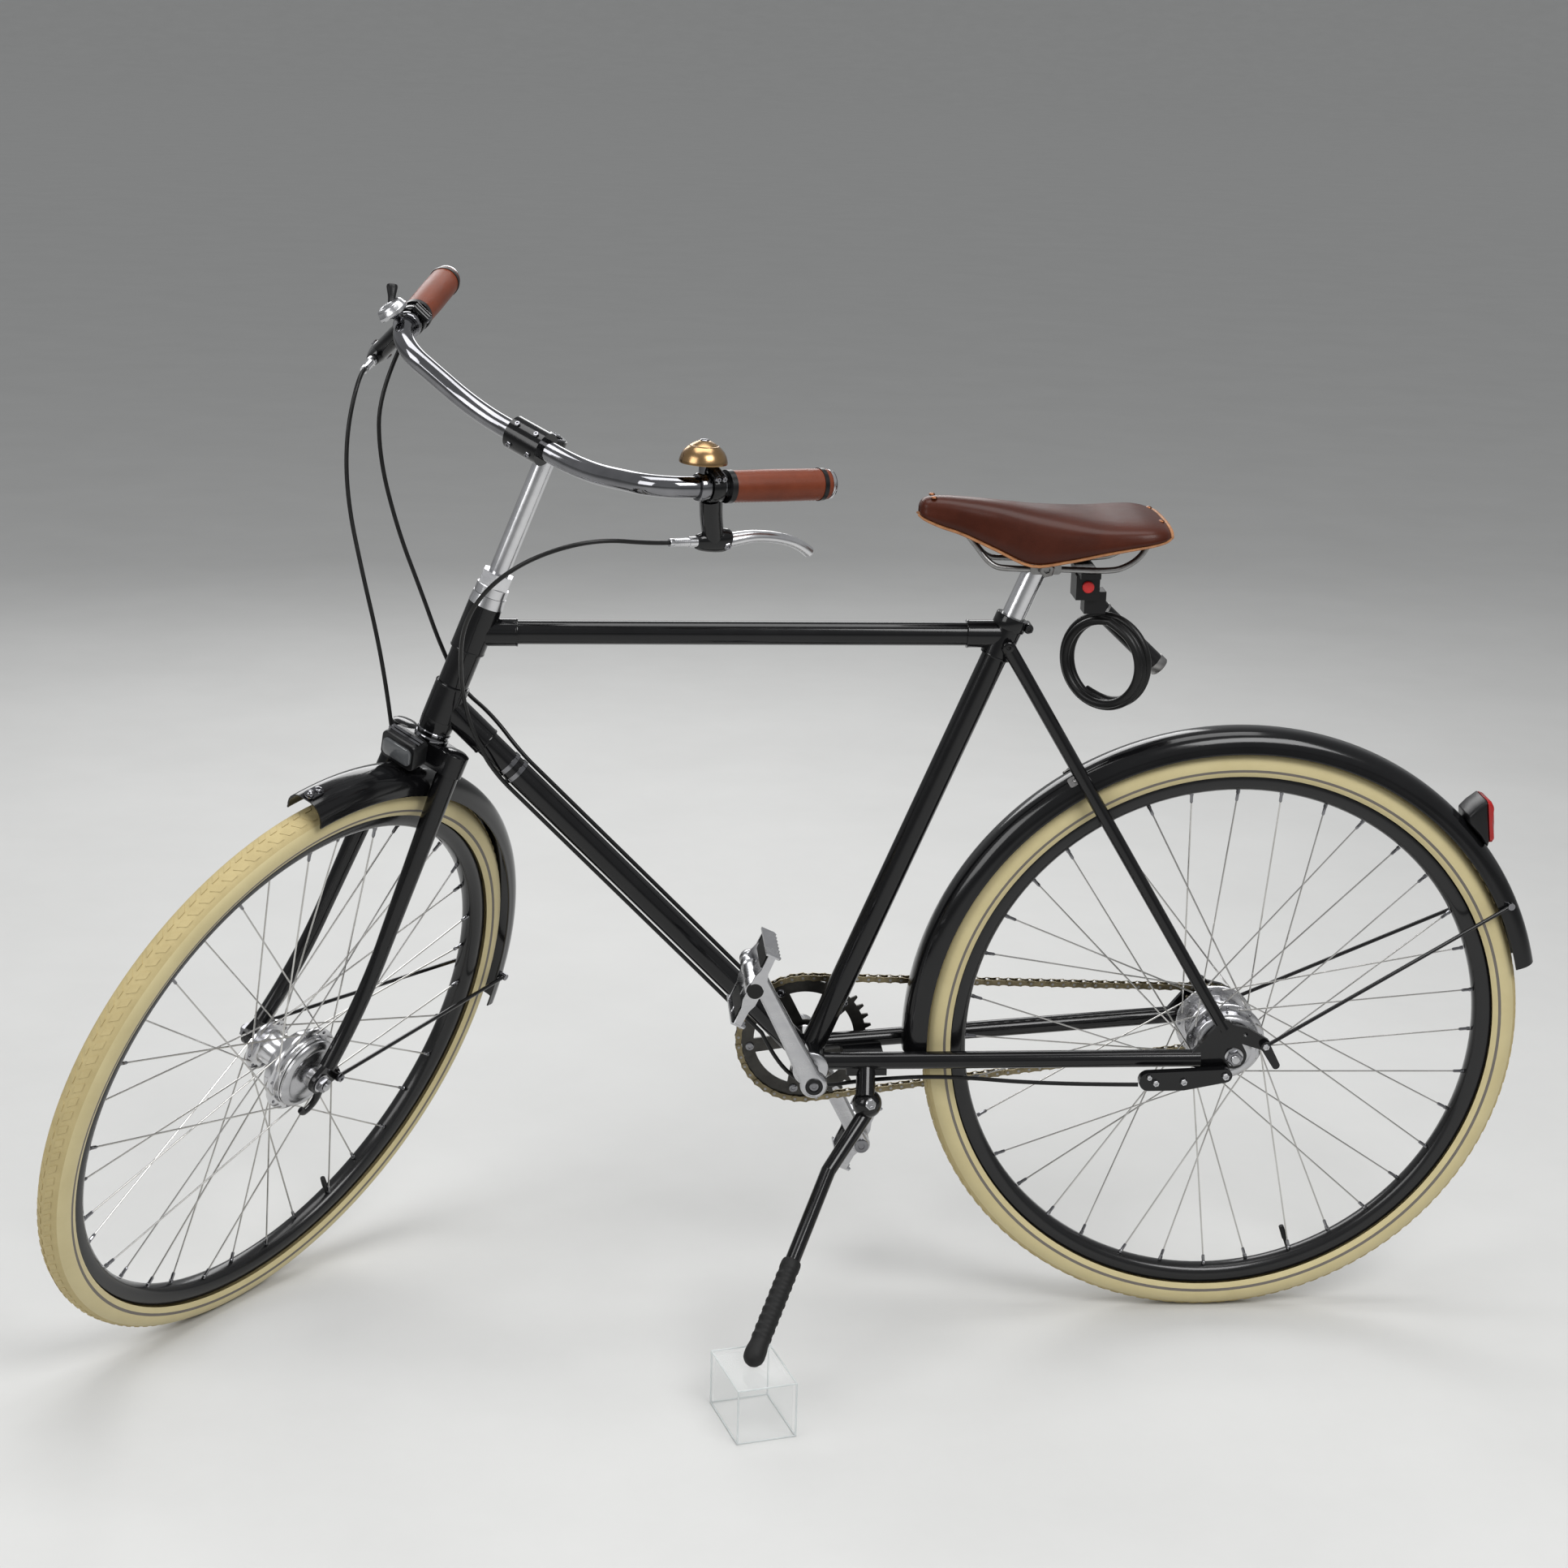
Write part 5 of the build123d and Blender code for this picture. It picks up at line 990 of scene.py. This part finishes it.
shifter = Shape()
run = BAR_RUN[-1]
dial = (BAR_OUT[-1] + UP).normalized()
dial_foot = SHIFTER_MID + dial * 19 + run * 8
shifter.turned(SHIFTER_MID, run, clamp_ring(5.5, 15.2), 36, 1)
shifter.tube([SHIFTER_MID + dial * 10, dial_foot], [6, 6.5], 14, 1)
knob = [(0, 0.01), (0, 16), (1.2, 17.2), (4, 17.4), (5, 16.4), (9, 15.6), (11, 14.4), (12, 12), (11.4, 9),
        (12, 7), (13, 5), (13, 0.01)]
shifter.turned(dial_foot, dial, knob, 44, 0, closed=False)
thumb = ((6, 0, 0), (12, 12, 4), (18, 24, 9))
thumb_line = [dial_foot + dial * out - run * back + UP * lift for out, back, lift in thumb]
shifter.tube(spline(thumb_line, 5), [4.4, 4.4, 4.4, 4.2, 4.2, 4.2, 4.6, 5.2, 5.8, 6.2, 5.6], 14, 2, flat=0.6)
shifter.tube([SHIFTER_MID + run * 2 - UP * 14, SHIFTER_MID + run * 11 - UP * 15], [4.4, 3.6], 12, 0)
shifter.make("shifter_dial", "steering", [alloy, chrome, plastic], ("gear_shifter",), "brushed_alloy")

stem = Shape()
for across in (-13, 13):
    stem.bolt(at(CLAMP, 18, across, -4), Vector((1, 0, -0.2)), 3.4, 3)
    stem.bolt(at(CLAMP, 8, across, 16), Vector((0.45, 0, 0.9)), 3.4, 3)
top = steer_at(766.9)
stem.bolt(top, STEER_UP, 6.5, 4)
stem.turned(top - STEER_UP * 0.5, STEER_UP, [(0, 9), (0, 13.4), (2, 12.6), (2, 9)], 32)
stem.make("stem_bolts", "steering", chrome, (), "bright_steel")

# Front lamp, crown bolts and the front brake arm
lamp = Shape()
arm_start = CROWN + STEER_FRONT * 19.3
lamp_back = at(arm_start, 8, 0, 10.5)


def lamp_ring(depth, width, height, corner):
    """A rounded rectangle across the lamp, at a depth from its back."""
    return [at(lamp_back, depth, x, y) for x, y in rounded(width, height, corner)]


body_steps = ((0, -10), (1.5, -3), (4, -0.6), (20, 0), (23, -0.4), (24, -2), (24, -7))
lamp.rings([lamp_ring(depth, 48 + grow, 33 + grow, 7 + grow / 2) for depth, grow in body_steps], 0)
lamp.rings([lamp_ring(depth, 40 - inset, 21 - inset, 6) for depth, inset in ((23, 0), (26, 0.4), (27, 3))], 1)
for height, depth, thick in ((17.1, 10, 4), (-17.1, 10, 4), (17.1, 15.5, 3)):
    strip = mirrored([(22, -thick / 2), (22, thick / 2)])
    lamp.plate(strip, 1.2, at(lamp_back, depth, 0, height), SIDE, AHEAD, 2)
lamp.tube([arm_start + STEER_FRONT * out for out in (-0.2, 6, 11)], [8, 6.5, 7], 18, 0)
lamp.bolt(arm_start + STEER_FRONT * 5 + SIDE * 6, SIDE, 4, 4, 2)
lamp.make("front_lamp_shell", "steering", [plastic, lamp_glass, chrome], ("front_lamp",), "black_plastic")
crown = Shape()
for hand in HANDS:
    cap = steer_at(404) + SIDE * (37 * hand)
    dome = [(0, 15.4), (1.4, 15.2), (3.6, 12), (4.6, 6), (4.8, 0.01)]
    crown.turned(cap, STEER_UP, dome, 32, 0, closed=False)
    crown.bolt(at(FRONT, -24, 62.3 * hand, -2), SIDE * hand, 5, 3.5, 1)
crown.turned(steer_at(405.6), STEER_UP, [(0, 18), (0, 19.4), (3, 19.8), (5, 18.8), (5, 18)], 40, 1)
crown.turned(steer_at(413.5), STEER_UP, [(0, 18), (0, 19), (2, 19.2), (3, 18.4), (3, 18)], 40, 1)
hook_bends = ((-6, 46, -12), (-8, 48, -22), (0, 49, -34), (14, 49, -40), (20, 48, -34))
hook = spline([at(FRONT, *spot) for spot in hook_bends], 5)
crown.tube(hook, [6.4 - 0.12 * i for i in range(len(hook))], 12, 0, flat=0.6, flat_axis=SIDE)
crown.bolt(at(FRONT, -7, 49, -18), SIDE, 4, 3.5, 1)
crown.make("crown_trim", "steering", [paint, chrome], (), "frame_paint")

# Tail lamp with its lens
tail_foot = wheel_at(REAR, 373.3, 138.5)
tail_side = ((15, 15), (16, 24), (8, 33), (-4, 42), (-8, 20), (-11, -9), (-10, -14), (-2, -3))
lens_side = ((-4.5, 42), (-10, 40), (-13, 35), (-15.5, 14), (-17, -6), (-15, -9), (-11.5, -9))


def across_rings(outline, half, soft):
    """A side outline as (ahead, above) carried across the wheel's plane, smaller at both ends."""
    points = [Vector((x, 0, z)) for x, z in outline]
    middle = sum(points, Vector()) / len(points)
    rings = []
    for y, inset in ((-half, soft), (-half + soft * 0.4, soft * 0.35), (-half + soft, 0), (half - soft, 0),
                     (half - soft * 0.4, soft * 0.35), (half, soft)):
        rings.append([tail_foot + point + (middle - point).normalized() * inset + SIDE * y
                      for point in points])
    return rings


tail = Shape()
tail.rings(across_rings(tail_side, 22, 4), 0)
tail.make("tail_lamp_shell", "frame", plastic, ("tail_lamp",), "black_plastic", bevel=0.001)
lens = Shape()
lens.rings(across_rings(lens_side, 20, 4), 0)
lens_rib = ((-13, 33), (-15.4, 14), (-16.6, -4))
for across in range(-15, 16, 5):
    lens.tube([at(tail_foot, ahead, across, above) for ahead, above in lens_rib], 0.7, 8)
lens.make("tail_lamp_lens", "frame", red_glass, ("tail_lens",), "red_lens", bevel=0.0008)

# Lock: button, barrel end and a ring on the barrel
lock = Shape()
button = [(0, 6.5), (2.5, 6.5), (3.4, 5.6), (3.6, 0.01)]
lock.turned(at(POST_TOP, -56, 17, -16.7), SIDE, button, 24, 0, closed=False)
barrel_start, barrel_end = at(POST_TOP, -81, -54, -56), at(POST_TOP, -157, -54, -128)
barrel = (barrel_end - barrel_start).normalized()
keyhole_end = [(-10, 11), (-10, 12), (-1, 12), (0.2, 11), (0.2, 4), (-1, 3.4), (-1, 0.01)]
lock.turned(barrel_end, barrel, keyhole_end, 32, 1, closed=False)
lock.turned(barrel_start + barrel * 8, barrel, [(0, 11), (0, 11.8), (3, 11.8), (3, 11)], 32, 1)
lock.make("lock_trim", "frame", [red_plastic, steel], (), "black_plastic")

# Stand: the ribbed rubber foot
RIBS = 9
foot_centre = PARKED.inverted() @ Vector((RISER_X, RISER_Y, RISER_HEIGHT + 12.3))
knee = at(STAND_PIVOT + (foot_centre - STAND_PIVOT) * 0.28, 8, -14, -6)
boot_start = knee + (foot_centre - knee) * 0.5
run = (foot_centre - boot_start).normalized()
length = (foot_centre - boot_start).length
rib_pitch = (length - 22) / RIBS
profile = [(0, 8), (0, 10.4), (3, 11.2)]
for k in range(RIBS):
    along = 8 + rib_pitch * k
    profile += [(along, 11.3), (along + 3.2, 11.3), (along + 4.2, 10.6), (along + rib_pitch - 1, 10.6)]
toe = ((-8, 11.8), (0, 12), (5, 10.9), (9.4, 7.4), (11.6, 3), (12, 0.01))
profile += [(length + beyond, radius) for beyond, radius in toe]
boot = Shape()
boot.turned(boot_start, run, profile, 32, 0, closed=False)
boot.make("stand_boot", "stand", rubber, ("stand_foot",), "black_rubber", smooth=55)


# Clear riser: an open-bottomed box of clear sheet with polished edges
def corners_of(width, depth):
    """The corners of an upright box on the floor."""
    return [(cx * width / 2, cy * depth / 2) for cx, cy in ((1, 1), (-1, 1), (-1, -1), (1, -1))]


riser = Shape()
to_bike = (PARKED.inverted() @ Matrix.Translation((RISER_X, RISER_Y, 0))
           @ Matrix.Rotation(radians(RISER_TURN), 4, "Z"))
for width, depth, top in ((68, 98, RISER_HEIGHT), (60, 90, RISER_HEIGHT - 4)):
    riser.add([to_bike @ Vector((x, y, z)) for z in (0, top) for x, y in corners_of(width, depth)],
              [(0, 1, 5, 4), (1, 2, 6, 5), (2, 3, 7, 6), (3, 0, 4, 7), (4, 5, 6, 7)], 0)
for height in (63, 1.1):
    riser.tube([to_bike @ Vector((x, y, height)) for x, y in corners_of(66, 96)], 1.0, 8, 1, closed=True)
for x, y in corners_of(66, 96):
    riser.tube([to_bike @ Vector((x, y, 1)), to_bike @ Vector((x, y, 63))], 1.0, 8, 1)
riser.make("riser_box", "frame", [clear, clear_edge], ("riser",), "clear_riser", smooth=30)

# Floor that curves up far away, and light. Lengths are in metres.
flat_reach, far_reach, far_height, bands, sides = 40.0, 60.0, 6.0, 16, 96
floor_verts, floor_faces = [], [tuple(range(sides))]
for i in range(bands + 1):
    share = i / bands
    reach = flat_reach + (far_reach - flat_reach) * share
    for k in range(sides):
        angle = 2 * pi * k / sides
        floor_verts.append((reach * cos(angle), reach * sin(angle), far_height * share ** 2))
for i in range(bands):
    for k in range(sides):
        n = (k + 1) % sides
        floor_faces.append((i * sides + k, i * sides + n, (i + 1) * sides + n, (i + 1) * sides + k))
floor_mesh = bpy.data.meshes.new("floor")
floor_mesh.from_pydata(floor_verts, [], floor_faces)
floor_mesh.materials.append(material("floor_grey", (0.62, 0.62, 0.61), 0.75, dark=(0.58, 0.58, 0.57), scale=3,
                                     rough_spread=0.05))
floor = bpy.data.objects.new("floor", floor_mesh)
scene.collection.objects.link(floor)
floor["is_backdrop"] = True
world = bpy.data.worlds.new("studio")
scene.world = world
world.use_nodes = True
background = world.node_tree.nodes["Background"]
background.inputs["Color"].default_value = (0.62, 0.63, 0.64, 1)
background.inputs["Strength"].default_value = 0.55


def softbox(name, place, aim, width, height, power):
    """An area light at a place, turned to what it lights."""
    data = bpy.data.lights.new(name, "AREA")
    data.shape, data.size, data.size_y, data.energy = "RECTANGLE", width, height, power
    light = bpy.data.objects.new(name, data)
    light.location = place
    light.rotation_euler = (Vector(aim) - Vector(place)).to_track_quat("-Z", "Y").to_euler()
    scene.collection.objects.link(light)


softbox("key", (-1.6, 2.6, 3.4), (0, 0, 0.5), 2.2, 1.6, 95)
softbox("fill", (2.6, 2.0, 2.2), (0, 0, 0.5), 1.8, 1.8, 40)
softbox("top", (0.0, 0.0, 3.8), (0, 0, 0), 3.0, 1.6, 60)
softbox("back", (0.3, -3.2, 2.4), (0, 0, 0.6), 2.6, 1.4, 45)

low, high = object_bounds()
